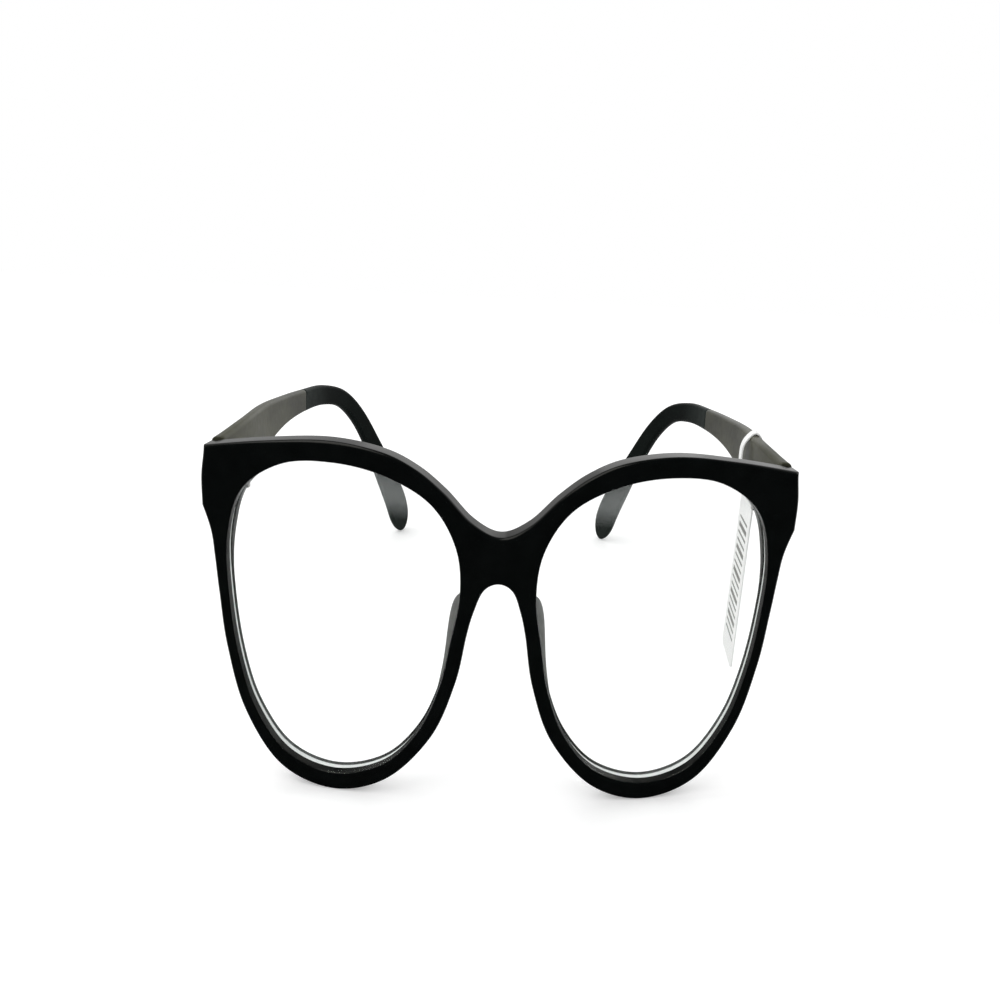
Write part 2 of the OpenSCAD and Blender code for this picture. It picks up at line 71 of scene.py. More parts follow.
# Outer edge in three runs: across, up, place on the opening that it pairs with
BROW = [
    (-5.6, 63.3, -0.4), (0, 60.65, 0.2), (5.6, 63.3, 0.7), (11.2, 69.1, 1.15), (17, 73.7, 1.6),
    (24, 76.8, 2.2), (34.5, 78.2, 3.1), (47, 77.1, 4.25), (60.2, 74.9, 5.05), (73, 72.4, 5.8),
]
END_PIECE = [(60, 82, 4.4), (60.2, 74.9, 5.05), (61.1, 68.6, 5.4), (61.2, 62.2, 5.7), (61.2, 56, 6)]
RIM = [
    (63.5, 68, 5.4), (61.2, 62.2, 5.7), (59.5, 56.7, 6.0), (58.9, 51, 6.4), (58.3, 43.5, 6.95),
    (57, 31, 7.9), (53.4, 16.4, 9.05), (45.5, 4.2, 10.1), (33.6, 0, 11),
    (21.9, 4, 12.05), (12.7, 14.9, 13.1), (8, 27.7, 14.05), (5.95, 39.1, 15),
    (4.7, 44.4, 15.45), (2.9, 49.1, 15.9), (0, 50.7, 16.3), (-2.9, 49.1, 16.7),
]
# Temple: distance behind its front end, outward shift, height, depth of section, thickness, twist
TEMPLE = [
    (-12, 0, 69, 12.9, 2.9, 0), (0, 0, 68.7, 13.4, 2.9, 0), (12, 0.5, 69.7, 13, 2.8, 0),
    (26, 2.6, 70.6, 11, 2.7, 0), (40, 3.6, 71, 8.2, 2.7, 0), (54, 3.4, 70.7, 6.8, 2.7, 0),
    (67, 1.8, 69.8, 6.5, 2.8, 0), (78, -1.1, 66.2, 6.1, 2.9, 2), (87, -4.3, 57.5, 6.1, 3, 6),
    (96, -7.5, 44, 6.8, 3.1, 12), (104, -10.8, 28.9, 8.3, 3.2, 18), (110.8, -13.8, 14.4, 9.2, 3.2, 20),
    (115.4, -15.5, 0.3, 8.4, 3.2, 20), (118.4, -16.6, -10, 7, 3.2, 20),
]
# Section of a nose pad: share of its reach, share of its half thickness
PAD_SECTION = [
    (-0.3, 1), (0, 1), (0.35, 0.95), (0.7, 0.8), (0.92, 0.55), (1, 0),
    (0.92, -0.55), (0.7, -0.8), (0.35, -0.95), (0, -1), (-0.3, -1),
]
# Sizes of the drawing: the end piece's widest point, the brow's top, the arm's thickness at the hinge,
# and the reach of the temple, whose paddle ends a little past the last point
DRAWN_HALF_WIDTH = END_PIECE[3][0]
DRAWN_TOP = BROW[6][1]
DRAWN_THICKNESS = TEMPLE[1][4]
DRAWN_REACH = TEMPLE[-2][0] + 1.6
# Height that the rest flats take off the drawn rims, in mm
REST_CUT = 0.25
# Shares of the front's height over which it thickens, and over which the lip merges into the brow
THICKENS = (0.2, 0.72)
LIP_MERGES = (0.58, 0.76)
# Step along a curve, counted in its points, over which its direction is taken
NUDGE = 0.01

# Clearance round the hinge leaves in their pockets, inset of the arm, and reach of a temple leaf
PLAY = 0.1 * MM
ARM_INSET = 0.65 * MM
LEAF_FROM, LEAF_HEIGHT = 1.9 * MM, 5.6 * MM
# Start of the temple's path behind the CAD arm's front end, and rounding of that end
ARM_START = 0.03 * MM
ARM_END_ROUND = 0.0003
# Radius of a leaf screw's head, as a share of the screw's diameter
HEAD_SHARE = 0.75

# Steps along the brow, end piece, rim and bridge
BROW_STEPS, END_STEPS, RIM_STEPS, BRIDGE_STEPS = 96, 16, 208, 5
# Steps round a rounded edge, round the opening's bevel, and from point to point of a lens edge
ARC_STEPS, BEVEL_STEPS, LENS_STEPS = 5, 3, 8
# Steps along and round a nose pad, along the arm, the tip and its paddle, and along the strap
PAD_STEPS, PAD_AROUND = 48, 24
ARM_STEPS, TIP_STEPS, PADDLE_STEPS, STRAP_STEPS = 70, 120, 22, 110
# Steps that round off an end of the temple, and sides and roundness of its section
END_ROUND_STEPS, TEMPLE_SIDES, TEMPLE_ROUNDNESS = 3, 36, 0.84
# Points of a section that make the outer wall, which is left out where the two halves meet
WALL_FROM = BEVEL_STEPS + 8
WALL_TO = WALL_FROM + 2 * ARC_STEPS + 1


def mean_of(low, high):
    return (low + high) / 2


def smooth(p0, p1, p2, p3, t):
    """Place on a smooth curve from p1 to p2, number by number."""
    return [
        0.5 * (2 * b + (c - a) * t + (2 * a - 5 * b + 4 * c - d) * t * t + (3 * b - a - 3 * c + d) * t ** 3)
        for a, b, c, d in zip(p0, p1, p2, p3)
    ]


def on_closed(points, u):
    """Place on a closed curve through all the points."""
    i = math.floor(u)
    return smooth(*(points[(i + k) % len(points)] for k in (-1, 0, 1, 2)), u - i)


def on_open(points, u):
    """Place on an open curve, whose first and last points only steer its ends."""
    i = max(0, min(len(points) - 4, math.floor(u)))
    return smooth(*points[i:i + 4], u - i)


def right_of(a, b):
    """Normal to the right of the way from a to b in the plane of the front."""
    across, up = b[0] - a[0], b[1] - a[1]
    size = math.hypot(up, -across)
    return [up / size, -across / size]


def moved(p, n, by):
    return [p[0] + n[0] * by, p[1] + n[1] * by]


class Outline:
    """The drawn outlines, stretched to the chosen width and height, all in mm."""

    def __init__(self, s):
        self.height = s.front_height / MM + REST_CUT
        self.across_scale = s.front_width / MM / (2 * DRAWN_HALF_WIDTH)
        self.up_scale = self.height / DRAWN_TOP
        self.brow_t = s.brow_thickness / MM
        self.rim_t = s.rim_thickness / MM
        self.wrap_r = s.wrap_radius / MM
        self.edge_r = s.edge_radius / MM

    def stretched(self, p):
        return [p[0] * self.across_scale, p[1] * self.up_scale, *p[2:]]

    def opening(self, u):
        return self.stretched(on_closed(OPENING, u))

    def opening_normal(self, u):
        """Direction from the opening into the rim."""
        n = right_of(self.opening(u - NUDGE), self.opening(u + NUDGE))
        return [-n[0], -n[1]]

    def run_at(self, points, u):
        return self.stretched(on_open(points, u))

    def run_normal(self, points, u):
        """Direction from an outer edge into the rim."""
        return right_of(self.run_at(points, u - NUDGE / 2), self.run_at(points, u + NUDGE / 2))

    def wrap(self, x):
        """How far the face falls back at a distance from the middle."""
        return self.wrap_r - math.sqrt(self.wrap_r ** 2 - x * x)

    def eased(self, p, shares, low, high):
        """Value that eases from low to high between two shares of the front's height."""
        t = (p[1] / self.height - shares[0]) / (shares[1] - shares[0])
        t = max(0.0, min(1.0, t))
        return low + (high - low) * t * t * (3 - 2 * t)

    def thickness(self, p):
        """The front thins from the brow down to the foot of the rims."""
        return self.eased(p, THICKENS, self.rim_t, self.brow_t)

    def lip_back(self, p, lip):
        """Depth of the back of the thin lip behind a lens, which merges into the brow."""
        return self.eased(p, LIP_MERGES, lip, self.brow_t)

    def place(self, p, depth, side):
        """Point of the model, in metres, at a place in the outline and a depth behind the face."""
        return Vector((side * p[0] * MM, FRONT_Y + (self.wrap(p[0]) + depth) * MM, (p[1] - REST_CUT) * MM))

    def placed(self, section, side):
        return [self.place(p, depth, side) for p, depth in section]


class Skin:
    """Points and faces of a piece, written down ring by ring."""

    def __init__(self):
        self.points, self.faces, self.slots = [], [], []

    def ring(self, points):
        """Adds a ring of points, and gives their numbers."""
        start = len(self.points)
        self.points += points
        return range(start, len(self.points))

    def face(self, corners, slot=0):
        self.faces.append(list(corners))
        self.slots.append(slot)

    def fan(self, centre, ring):
        """Closes a ring with triangles to a point in its middle."""
        for k in range(len(ring)):
            self.face([centre, ring[k], ring[(k + 1) % len(ring)]])

    def join(self, a, b, slot=0, left_out=()):
        """Joins two rings by a band of faces."""
        for k in range(len(a)):
            after = (k + 1) % len(a)
            if k not in left_out:
                self.face([a[k], b[k], b[after], a[after]], slot)

    def tube(self, rings):
        for a, b in zip(rings, rings[1:]):
            self.join(a, b)

    def piece(self, name, *materials):
        return mesh_piece(name, self.points, self.faces, materials, self.slots)


def new_object(name, data):
    thing = bpy.data.objects.new(name, data)
    bpy.context.scene.collection.objects.link(thing)
    return thing


def open_mesh(mesh):
    bm = bmesh.new()
    bm.from_mesh(mesh)
    return bm


def close_mesh(bm, mesh):
    """Points the faces of an opened mesh outwards, and writes it back."""
    bmesh.ops.recalc_face_normals(bm, faces=bm.faces)
    bm.to_mesh(mesh)
    bm.free()


def mesh_piece(name, points, faces, materials, slots=()):
    """Object from points in metres and faces, with its doubles merged and its normals outwards."""
    mesh = bpy.data.meshes.new(name)
    mesh.from_pydata([tuple(p) for p in points], [], faces)
    for material in materials:
        mesh.materials.append(material)
    if any(slots):
        mesh.polygons.foreach_set("material_index", slots)
    bm = open_mesh(mesh)
    bmesh.ops.remove_doubles(bm, verts=bm.verts, dist=0.002 * MM)
    bmesh.ops.dissolve_degenerate(bm, edges=bm.edges, dist=0.0005 * MM)
    close_mesh(bm, mesh)
    return new_object(name, mesh)


def settle(piece):
    """Turns what the modifiers make of a piece into its plain mesh."""
    bpy.context.view_layer.update()
    evaluated = piece.evaluated_get(bpy.context.evaluated_depsgraph_get())
    mesh = bpy.data.meshes.new_from_object(evaluated)
    mesh.name = piece.name
    old = piece.data
    piece.modifiers.clear()
    piece.data = mesh
    bpy.data.meshes.remove(old)
    return piece


def smooth_shade(piece, degrees=35, weighted=True):
    """Smooth faces with crisp edges where the surface turns by more than the angle."""
    piece.data.shade_smooth()
    piece.data.set_sharp_from_angle(angle=math.radians(degrees))
    if weighted:
        modifier = piece.modifiers.new("Flat faces lead", "WEIGHTED_NORMAL")
        modifier.keep_sharp = True
        modifier.weight = 80
        settle(piece)


def cut(piece, low, high):
    """Cuts a square pocket between two corners, in metres, out of a piece."""
    xs, ys, zs = zip(low, high)
    corners = [(x, y, z) for x in xs for y in ys for z in zs]
    faces = [(0, 1, 3, 2), (4, 6, 7, 5), (0, 4, 5, 1), (2, 3, 7, 6), (0, 2, 6, 4), (1, 5, 7, 3)]
    tool = mesh_piece("pocket", corners, faces, [piece.data.materials[0]])
    modifier = piece.modifiers.new("Pocket", "BOOLEAN")
    modifier.operation = "DIFFERENCE"
    modifier.solver = "EXACT"
    modifier.object = tool
    settle(piece)
    mesh = tool.data
    bpy.data.objects.remove(tool)
    bpy.data.meshes.remove(mesh)


def flatten_foot(piece, feet):
    """Cuts a piece flat at the floor; each foot is closed by itself, told apart by a test of its edges."""
    bm = open_mesh(piece.data)
    ring = bmesh.ops.bisect_plane(
        bm, geom=bm.verts[:] + bm.edges[:] + bm.faces[:],
        plane_co=(0, 0, 0), plane_no=(0, 0, -1), clear_outer=True)
    edges = [e for e in ring["geom_cut"] if isinstance(e, bmesh.types.BMEdge)]
    for belongs in feet:
        bmesh.ops.contextual_create(bm, geom=[e for e in edges if belongs(e.verts[0].co)])
    close_mesh(bm, piece.data)


def finish_piece(piece, body, nodes=()):
    """Hands a finished piece to the frame."""
    if not piece.data.polygons:
        raise RuntimeError(piece.name + " has no faces")
    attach(piece, body)
    if nodes:
        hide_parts(*nodes)


class NodeWriter:
    """A node tree that is written down step by step."""

    def __init__(self, tree):
        self.tree = tree

    def add(self, kind, inputs=None, **settings):
        node = self.tree.nodes.new(kind)
        for key, value in settings.items():
            setattr(node, key, value)
        for key, value in (inputs or {}).items():
            self.set(node.inputs[key], value)
        return node

    def set(self, socket, value):
        if isinstance(value, bpy.types.NodeSocket):
            self.tree.links.new(value, socket)
        else:
            socket.default_value = value

    def maths(self, operation, *values):
        return self.add("ShaderNodeMath", dict(enumerate(values)), operation=operation).outputs[0]

    def times(self, a, b):
        return self.maths("MULTIPLY", a, b)

    def plus(self, a, b):
        return self.maths("ADD", a, b)

    def spread(self, value, low, high, start=0.3, end=0.7):
        """Maps the range from start to end, a pattern's middle range, to the range from low to high."""
        return self.add("ShaderNodeMapRange", {
            "Value": value, "From Min": start, "From Max": end, "To Min": low, "To Max": high,
        }).outputs["Result"]

    def axes(self, vector):
        return self.add("ShaderNodeSeparateXYZ", {0: vector}).outputs

    def vector(self, **axes):
        return self.add("ShaderNodeCombineXYZ", axes).outputs[0]


def toned(colour, by):
    """A colour, darker or brighter by a factor."""
    return tuple(c * by for c in colour)


def opaque(colour):
    """A colour as a node's socket takes it; a link stays as it is."""
    return colour if isinstance(colour, bpy.types.NodeSocket) else (*colour, 1)


class Finish(NodeWriter):
    """A node material on Object coordinates."""

    def __init__(self, name):
        self.material = bpy.data.materials.new(name)
        self.material.use_nodes = True
        super().__init__(self.material.node_tree)
        self.tree.nodes.clear()
        self.output = self.add("ShaderNodeOutputMaterial")
        self.coords = self.add("ShaderNodeTexCoord").outputs["Object"]

    def stretched(self, *scale):
        """Object coordinates, scaled by different amounts along the three axes."""
        return self.add("ShaderNodeMapping", {"Vector": self.coords, "Scale": scale}).outputs["Vector"]

    def noise(self, scale=1, detail=3, rough=0.55, vector=None):
        return self.add("ShaderNodeTexNoise", {
            "Vector": vector or self.coords, "Scale": scale, "Detail": detail, "Roughness": rough,
        }).outputs["Fac"]

    def between(self, fac, a, b):
        return self.add("ShaderNodeMix", {0: fac, 6: opaque(a), 7: opaque(b)}, data_type="RGBA").outputs[2]

    def shades(self, pattern, colour, first, second):
        """A colour that a pattern varies between two multiples of itself."""
        return self.between(self.spread(pattern, 0, 1), toned(colour, first), toned(colour, second))

    def bump(self, height, distance, strength):
        return self.add("ShaderNodeBump", {
            "Height": height, "Distance": distance, "Strength": strength,
        }).outputs["Normal"]

    def shader(self, kind, inputs):
        return self.add("ShaderNode" + kind, inputs).outputs[0]

    def done(self, shader):
        self.set(self.output.inputs["Surface"], shader)
        return self.material

    def principled(self, colour, roughness, normal=None, **constants):
        """Ends the material in one shader, whose other constants are named as its sockets are."""
        inputs = {"Base Color": opaque(colour), "Roughness": roughness}
        if normal:
            inputs["Normal"] = normal
        for key, value in constants.items():
            inputs[key.replace("_", " ")] = value
        return self.done(self.shader("BsdfPrincipled", inputs))

    def metal(self, colour, lines, stain, dark, roughness, depth=0.01 * MM):
        """Ends the material in bare metal, with lines that roughen it and a stain that darkens it."""
        return self.principled(
            self.shades(stain, colour, dark, 1), self.spread(lines, *roughness), self.bump(lines, depth, 0.4),
            Metallic=1.0)


def black_plastic(s):
    """Polished black moulding: nearly even, with a faint haze where it was buffed."""
    f = Finish("black moulded plastic")
    haze = f.noise(scale=240, detail=4)
    grain = f.noise(scale=2600, detail=2)
    return f.principled(
        f.shades(haze, s.colour, 1, 1.7), f.spread(haze, 0.16, 0.24), f.bump(grain, 0.01 * MM, 0.2),
        Specular_IOR_Level=0.27, Specular_Tint=(1, 0.98, 0.9, 1))


def clear_lens(s):
    """Thin clear lens: see-through, with the gloss of its two faces, and a painted reflection below the brow:
    a pale, speckled veil mixed into the lens.
    """
    f = Finish("clear lens")
    pale = opaque((0.9, 0.93, 0.92))
    reflection_from, reflection_to = 0.0625, 0.0668
    wipe = f.noise(scale=60, detail=5, vector=f.stretched(1, 1, 0.35))
    reflection_specks = f.noise(scale=1100, detail=5, rough=0.7)
    clear = f.shader("BsdfTransparent", {"Color": opaque(s.tint)})
    none = f.shader("BsdfTransparent", {"Color": opaque((0, 0, 0))})
    gloss = f.shader("BsdfGlossy", {"Color": pale, "Roughness": f.spread(wipe, 0.015, 0.05)})
    sheen = f.add("ShaderNodeFresnel", {"IOR": 1.22}).outputs["Fac"]
    coat = f.shader("MixShader", {0: sheen, 1: none, 2: gloss})
    glass = f.shader("AddShader", {0: clear, 1: coat})
    # Painted reflection: below the brow, a pale diffuse veil with specks is mixed in for light that the lens
    # reflects.
    height = f.axes(f.coords)["Z"]
    painted_reflection = f.times(f.spread(height, 0, s.painted_reflection, reflection_from, reflection_to), f.spread(reflection_specks, 0.6, 1.15))
    painted_reflection_veil = f.shader("BsdfDiffuse", {"Color": pale})
    return f.done(f.shader("MixShader", {0: painted_reflection, 1: glass, 2: painted_reflection_veil}))


def ground_edge():
    """Frosted, unpolished edge of a lens."""
    f = Finish("ground lens edge")
    grit = f.noise(scale=5200)
    colour = f.between(f.spread(grit, 0, 1), (0.72, 0.74, 0.73), (0.82, 0.83, 0.82))
    return f.principled(colour, f.spread(grit, 0.5, 0.7), f.bump(grit, 0.02 * MM, 0.5))


def pad_plastic(s):
    """Satin grey pad, streaked, and a little paler towards its foot."""
    f = Finish("grey pad plastic")
    pad_top, pad_foot = 0.042, 0.03
    cloud = f.noise(scale=420)
    streaks = f.noise(rough=0.5, vector=f.stretched(1900, 1900, 260))
    base = f.between(
        f.spread(f.axes(f.coords)["Z"], 0, 1, pad_top, pad_foot), toned(s.colour, 0.72), s.colour)
    colour = f.between(f.spread(streaks, 0.35, 0, 0.4, 0.6), base, toned(s.colour, 0.45))
    return f.principled(colour, f.spread(cloud, 0.34, 0.46), f.bump(cloud, 0.02 * MM, 0.3))


def arm_plastic(s):
    """Satin grey-brown arm, clouded along its length, paler at the hinge and finely brushed."""
    f = Finish("grey-brown arm plastic")
    fades_from, fades_to = FRONT_Y + 0.02, FRONT_Y + 0.055
    cloud = f.noise(detail=4, rough=0.6, vector=f.stretched(70, 55, 95))
    fine = f.noise(vector=f.stretched(900, 1500, 420))
    faded = f.spread(f.axes(f.coords)["Y"], 0.06, -0.06, fades_from, fades_to)
    mottle = f.plus(f.times(cloud, 0.8), f.times(fine, 0.2))
    tone = f.spread(f.plus(mottle, faded), 0, 1, 0.36, 0.64)
    colour = f.between(tone, toned(s.arm_colour, 0.6), toned(s.arm_colour, 1.45))
    return f.principled(
        colour, f.spread(fine, 0.3, 0.42), f.bump(fine, 0.02 * MM, 0.25), Specular_IOR_Level=0.3)


def tip_plastic(s):
    """Dark green-black tip, with a painted grey highlight, a streaked haze of reflected light, next to its
    seam and a little on its paddle.
    """
    f = Finish("dark tip plastic")
    seam, highlight_length = FRONT_Y + 0.058, 0.02
    paddle_foot, paddle_top = 0.02, 0.036
    place = f.axes(f.coords)
    cloud = f.noise(scale=110, detail=4)
    streak_noise = f.noise(detail=4, rough=0.7, vector=f.stretched(520, 520, 200))
    # Painted highlight: the tip turns towards a grey haze of reflected light next to its seam and towards the
    # foot of its paddle, in streaks.
    highlighted = f.maths("MAXIMUM", f.spread(place["Y"], 0.9, 0, seam, seam + highlight_length),
                   f.spread(place["Z"], 0.4, 0, paddle_foot, paddle_top))
    haze = f.times(highlighted, f.spread(streak_noise, 0.5, 1, 0.32, 0.68))
    colour = f.between(haze, f.shades(cloud, s.tip_colour, 0.7, 1.35), s.highlight_colour)
    return f.principled(
        colour, f.spread(cloud, 0.26, 0.4), f.bump(streak_noise, 0.015 * MM, 0.25), Specular_IOR_Level=0.03)


def hinge_metal(s):
    """Stamped nickel leaf with fine drawn lines."""
    f = Finish("nickel hinge metal")
    lines = f.noise(detail=4, vector=f.stretched(700, 5200, 5200))
    stain = f.noise(scale=500)
    return f.metal(s.metal_colour, lines, stain, dark=0.8, roughness=(0.24, 0.4))


def screw_steel(s):
    """Bright turned steel, ringed by the lathe."""
    f = Finish("turned screw steel")
    rings = f.noise(scale=4200, detail=2)
    return f.metal(s.screw_colour, rings, rings, dark=0.85, roughness=(0.18, 0.32), depth=0.008 * MM)


def core_wire(s):
    """Flat drawn wire inside the temples."""
    f = Finish("drawn core wire")
    lines = f.noise(vector=f.stretched(5200, 260, 5200))
    return f.metal(s.core_colour, lines, lines, dark=0.8, roughness=(0.28, 0.42))


def tag_card(s):
    """White coated card with a faint paper tooth."""
    f = Finish("white tag card")
    tooth = f.noise(scale=3200, detail=4)
    cloud = f.noise(scale=160, detail=2)
    return f.principled(
        f.shades(cloud, s.colour, 0.96, 1), f.spread(tooth, 0.5, 0.62), f.bump(tooth, 0.015 * MM, 0.3))


def tag_ink(s):
    """Worn grey print."""
    f = Finish("grey tag print")
    wear = f.noise(scale=2400)
    return f.principled(f.shades(wear, s.bar_colour, 1, 1.9), f.spread(wear, 0.45, 0.6))


def length_property(name, description, default):
    return bpy.props.FloatProperty(
        name=name, description=description, default=default, unit="LENGTH", subtype="DISTANCE")


def angle_property(name, description, degrees):
    return bpy.props.FloatProperty(
        name=name, description=description, default=math.radians(degrees), unit="ROTATION", subtype="ANGLE")


def colour_property(name, description, default):
    return bpy.props.FloatVectorProperty(
        name=name, description=description, default=default, subtype="COLOR", size=3, min=0, max=1)


class FrontSettings(bpy.types.PropertyGroup):
    front_width: length_property(
        "Width", "Width of the front across its end pieces", FRONT_HIGH.x - FRONT_LOW.x)
    front_height: length_property(
        "Height", "Height from the rest flats to the top of the brow", FRONT_HIGH.z - FRONT_LOW.z)
    brow_thickness: length_property(
        "Brow thickness", "Thickness of the front at the brow and end pieces", 0.004)
    rim_thickness: length_property("Rim thickness", "Thickness of the rims at their lowest point", 0.003)
    wrap_radius: length_property("Wrap radius", "Radius of the front's curve around the face", 0.3)
    edge_radius: length_property("Edge radius", "Rounding of the front's outer edge", 0.0009)
    colour: colour_property("Colour", "Colour of the front", (0.0016, 0.0022, 0.0022))


class LensSettings(bpy.types.PropertyGroup):
    thickness: length_property("Thickness", "Thickness of a lens", 0.0011)
    set_back: length_property("Set back", "How far a lens sits behind the front face", 0.0015)
    lip: length_property("Lip", "Thickness of the rim's lip behind a lens", 0.00035)
    seat: length_property("Seat", "How far the lens edge goes into the rim", 0.0006)
    groove_gap: length_property(
        "Groove gap", "Clearance between the lens edge and the bottom of its groove", 0.0002)
    tint: colour_property("Tint", "Colour of what shows through the lens", (0.995, 0.999, 0.997))
    # Strength of the painted reflection, a pale veil below the brow of each lens
    painted_reflection: bpy.props.FloatProperty(
        name="Painted reflection", description="Strength of the pale bloom on a lens below the brow",
        default=0.1, min=0, max=1, subtype="FACTOR")


class PadSettings(bpy.types.PropertyGroup):
    reach: length_property("Reach", "How far a pad stands behind the front", 0.0055)
    thickness: length_property("Thickness", "Thickness of a pad at its root", 0.0022)
    splay: angle_property("Splay", "Angle by which a pad leans away from the nose", 22)
    colour: colour_property("Colour", "Colour of the pads", (0.102, 0.106, 0.096))


class TempleSettings(bpy.types.PropertyGroup):
    reach: length_property("Reach", "Distance from the temple's front end to the end of its tip", 0.117)
    seam_at: length_property(
        "Seam", "Distance from the temple's front end to the seam between arm and tip", 0.054)
    seam_gap: length_property("Seam gap", "Width of the open seam", 0.00012)
    seam_round: length_property("Seam rounding", "Rounding of the edges at the seam", 0.00022)
    arm_thickness: length_property(
        "Arm thickness", "Thickness of the arm where it meets the front", 0.0029)
    arm_colour: colour_property("Arm colour", "Colour of the arms", (0.05, 0.0505, 0.032))
    tip_colour: colour_property("Tip colour", "Colour of the ear tips", (0.0032, 0.0052, 0.0044))
    # Colour of the painted highlight, a haze of reflected light, on the tips
    highlight_colour: colour_property(
        "Highlight colour", "Colour of the tips where they are worn", (0.045, 0.054, 0.05))
    core_colour: colour_property("Core colour", "Colour of the metal cores", (0.66, 0.63, 0.58))


class HingeSettings(bpy.types.PropertyGroup):
    leaf_screw: length_property("Leaf screw", "Diameter of a leaf screw", 0.0011)
    head_height: length_property("Head height", "Height of a leaf screw's head", 0.00035)
    slot_width: length_property("Slot width", "Width of the slot in a leaf screw's head", 0.00024)
    shank: length_property("Shank", "Length of a leaf screw below its head", 0.002)
    metal_colour: colour_property("Metal colour", "Colour of the hinge leaves", (0.62, 0.61, 0.58))
    screw_colour: colour_property("Screw colour", "Colour of the screws", (0.7, 0.7, 0.68))


class TagSettings(bpy.types.PropertyGroup):
    thickness: length_property("Thickness", "Thickness of the card and its strap", 0.0003)
    strap_width: length_property("Strap width", "Width of the strap that holds the card", 0.0022)
    card_width: length_property("Card width", "Width of the hanging card", 0.0105)
    card_length: length_property("Card length", "Length of the hanging card", 0.04)
    bar_count: bpy.props.IntProperty(
        name="Bars", description="Number of plain printed bars on the card", default=16, min=0)
    colour: colour_property("Card colour", "Colour of the card", (0.95, 0.95, 0.94))
    bar_colour: colour_property("Bar colour", "Colour of the printed bars", (0.16, 0.16, 0.15))


class StageSettings(bpy.types.PropertyGroup):
    camera_at: bpy.props.FloatVectorProperty(
        name="Camera", description="Place of the camera", subtype="TRANSLATION", size=3,
        default=(0, FRONT_Y - 0.0991, 0.1102))
    pitch: angle_property("Pitch", "Angle by which the camera looks down", 10.12)
    yaw: angle_property("Yaw", "Angle by which the camera looks to the wearer's left", 1.3)
    roll: angle_property("Roll", "Angle by which the camera leans", 3.08)
    lens: bpy.props.FloatProperty(
        name="Lens", description="Focal length of the camera, in mm", default=19.67, min=1)
    sideways: bpy.props.FloatProperty(
        name="Sideways", description="Sideways shift of the picture, as a share of its width",
        default=-0.0212)
    rise: bpy.props.FloatProperty(
        name="Rise", description="Upward shift of the picture, as a share of its width",
        default=-0.1221)
    floor_colour: colour_property("Floor", "Colour of the floor", (0.88, 0.88, 0.88))


SETTINGS = {
    "glasses_front": FrontSettings,
    "glasses_lens": LensSettings,
    "glasses_pad": PadSettings,
    "glasses_temple": TempleSettings,
    "glasses_hinge": HingeSettings,
    "glasses_tag": TagSettings,
    "glasses_stage": StageSettings,
}


def stations(o):
    """Stations round the left half: opening point, outer point, inward direction, place on the opening."""

    def station(q, m):
        on_middle = abs(q[0]) < 0.001
        return o.opening(q[2]), [0.0 if on_middle else q[0], q[1]], m, q[2]

    def run(points, steps):
        places = [k * (len(points) - 3) / steps for k in range(1, steps)]
        return [station(o.run_at(points, u), o.run_normal(points, u)) for u in places]

    def corner(before, after):
        """Station where two runs meet, with its direction along their mitre."""
        a, b = o.run_normal(before, len(before) - 3 - NUDGE), o.run_normal(after, NUDGE)
        dot = a[0] * b[0] + a[1] * b[1]
        return station(o.run_at(after, 0), [(a[0] + b[0]) / (1 + dot), (a[1] + b[1]) / (1 + dot)])

    valley = station(o.run_at(BROW, 0), [0, -1])
    arch = station(o.run_at(RIM, len(RIM) - 3), [0, 1])
    # Place on the opening beside the arch, the way from there to the valley, and room left at both ends
    beside_arch, to_valley, room = 16.3, 0.9, 0.12
    bridge = []
    for k in range(1, BRIDGE_STEPS):
        t = k / BRIDGE_STEPS
        z = arch[1][1] + (valley[1][1] - arch[1][1]) * (room + (1 - 2 * room) * t)
        bridge.append(station([0, z, beside_arch + to_valley * t], [0, 0]))
    return [
        valley, *run(BROW, BROW_STEPS), corner(BROW, END_PIECE), *run(END_PIECE, END_STEPS),
        corner(END_PIECE, RIM), *run(RIM, RIM_STEPS), arch, *bridge,
    ]


def arc(radius, steps):
    """Quarter round as pairs: how far in from the wall, and how far back from the face."""
    angles = [math.pi / 2 * k / steps for k in range(steps + 1)]
    return [(radius * (1 - math.cos(a)), radius * (1 - math.sin(a))) for a in angles]


def rim_section(o, station, lens):
    """Section of the front at a station, as pairs of a place in the outline and a depth."""
    inner, outer, m, u = station
    n = o.opening_normal(u)
    # Bevel of the opening, chamfer of the lip, slope behind it, and play before and behind the lens
    bevel, lip, slope, play = 0.3, 0.12, 1.0, 0.05
    front, back = lens.set_back / MM - play, (lens.set_back + lens.thickness) / MM + play
    inner_t, outer_t = o.lip_back(inner, back + lens.lip / MM), o.thickness(outer)
    groove = moved(inner, n, (lens.seat + lens.groove_gap) / MM)
    back_edge_r = 0.7 * o.edge_r
    points = [(moved(inner, n, a), b) for a, b in reversed(arc(bevel, BEVEL_STEPS))]
    points += [
        (inner, front), (groove, front), (groove, back), (inner, back),
        (inner, inner_t - lip), (moved(inner, n, lip), inner_t),
        (moved(inner, n, slope), o.thickness(inner)),
    ]
    points += [(moved(outer, m, a), outer_t - b) for a, b in reversed(arc(back_edge_r, ARC_STEPS))]
    points += [(moved(outer, m, a), b) for a, b in arc(o.edge_r, ARC_STEPS)]
    return points


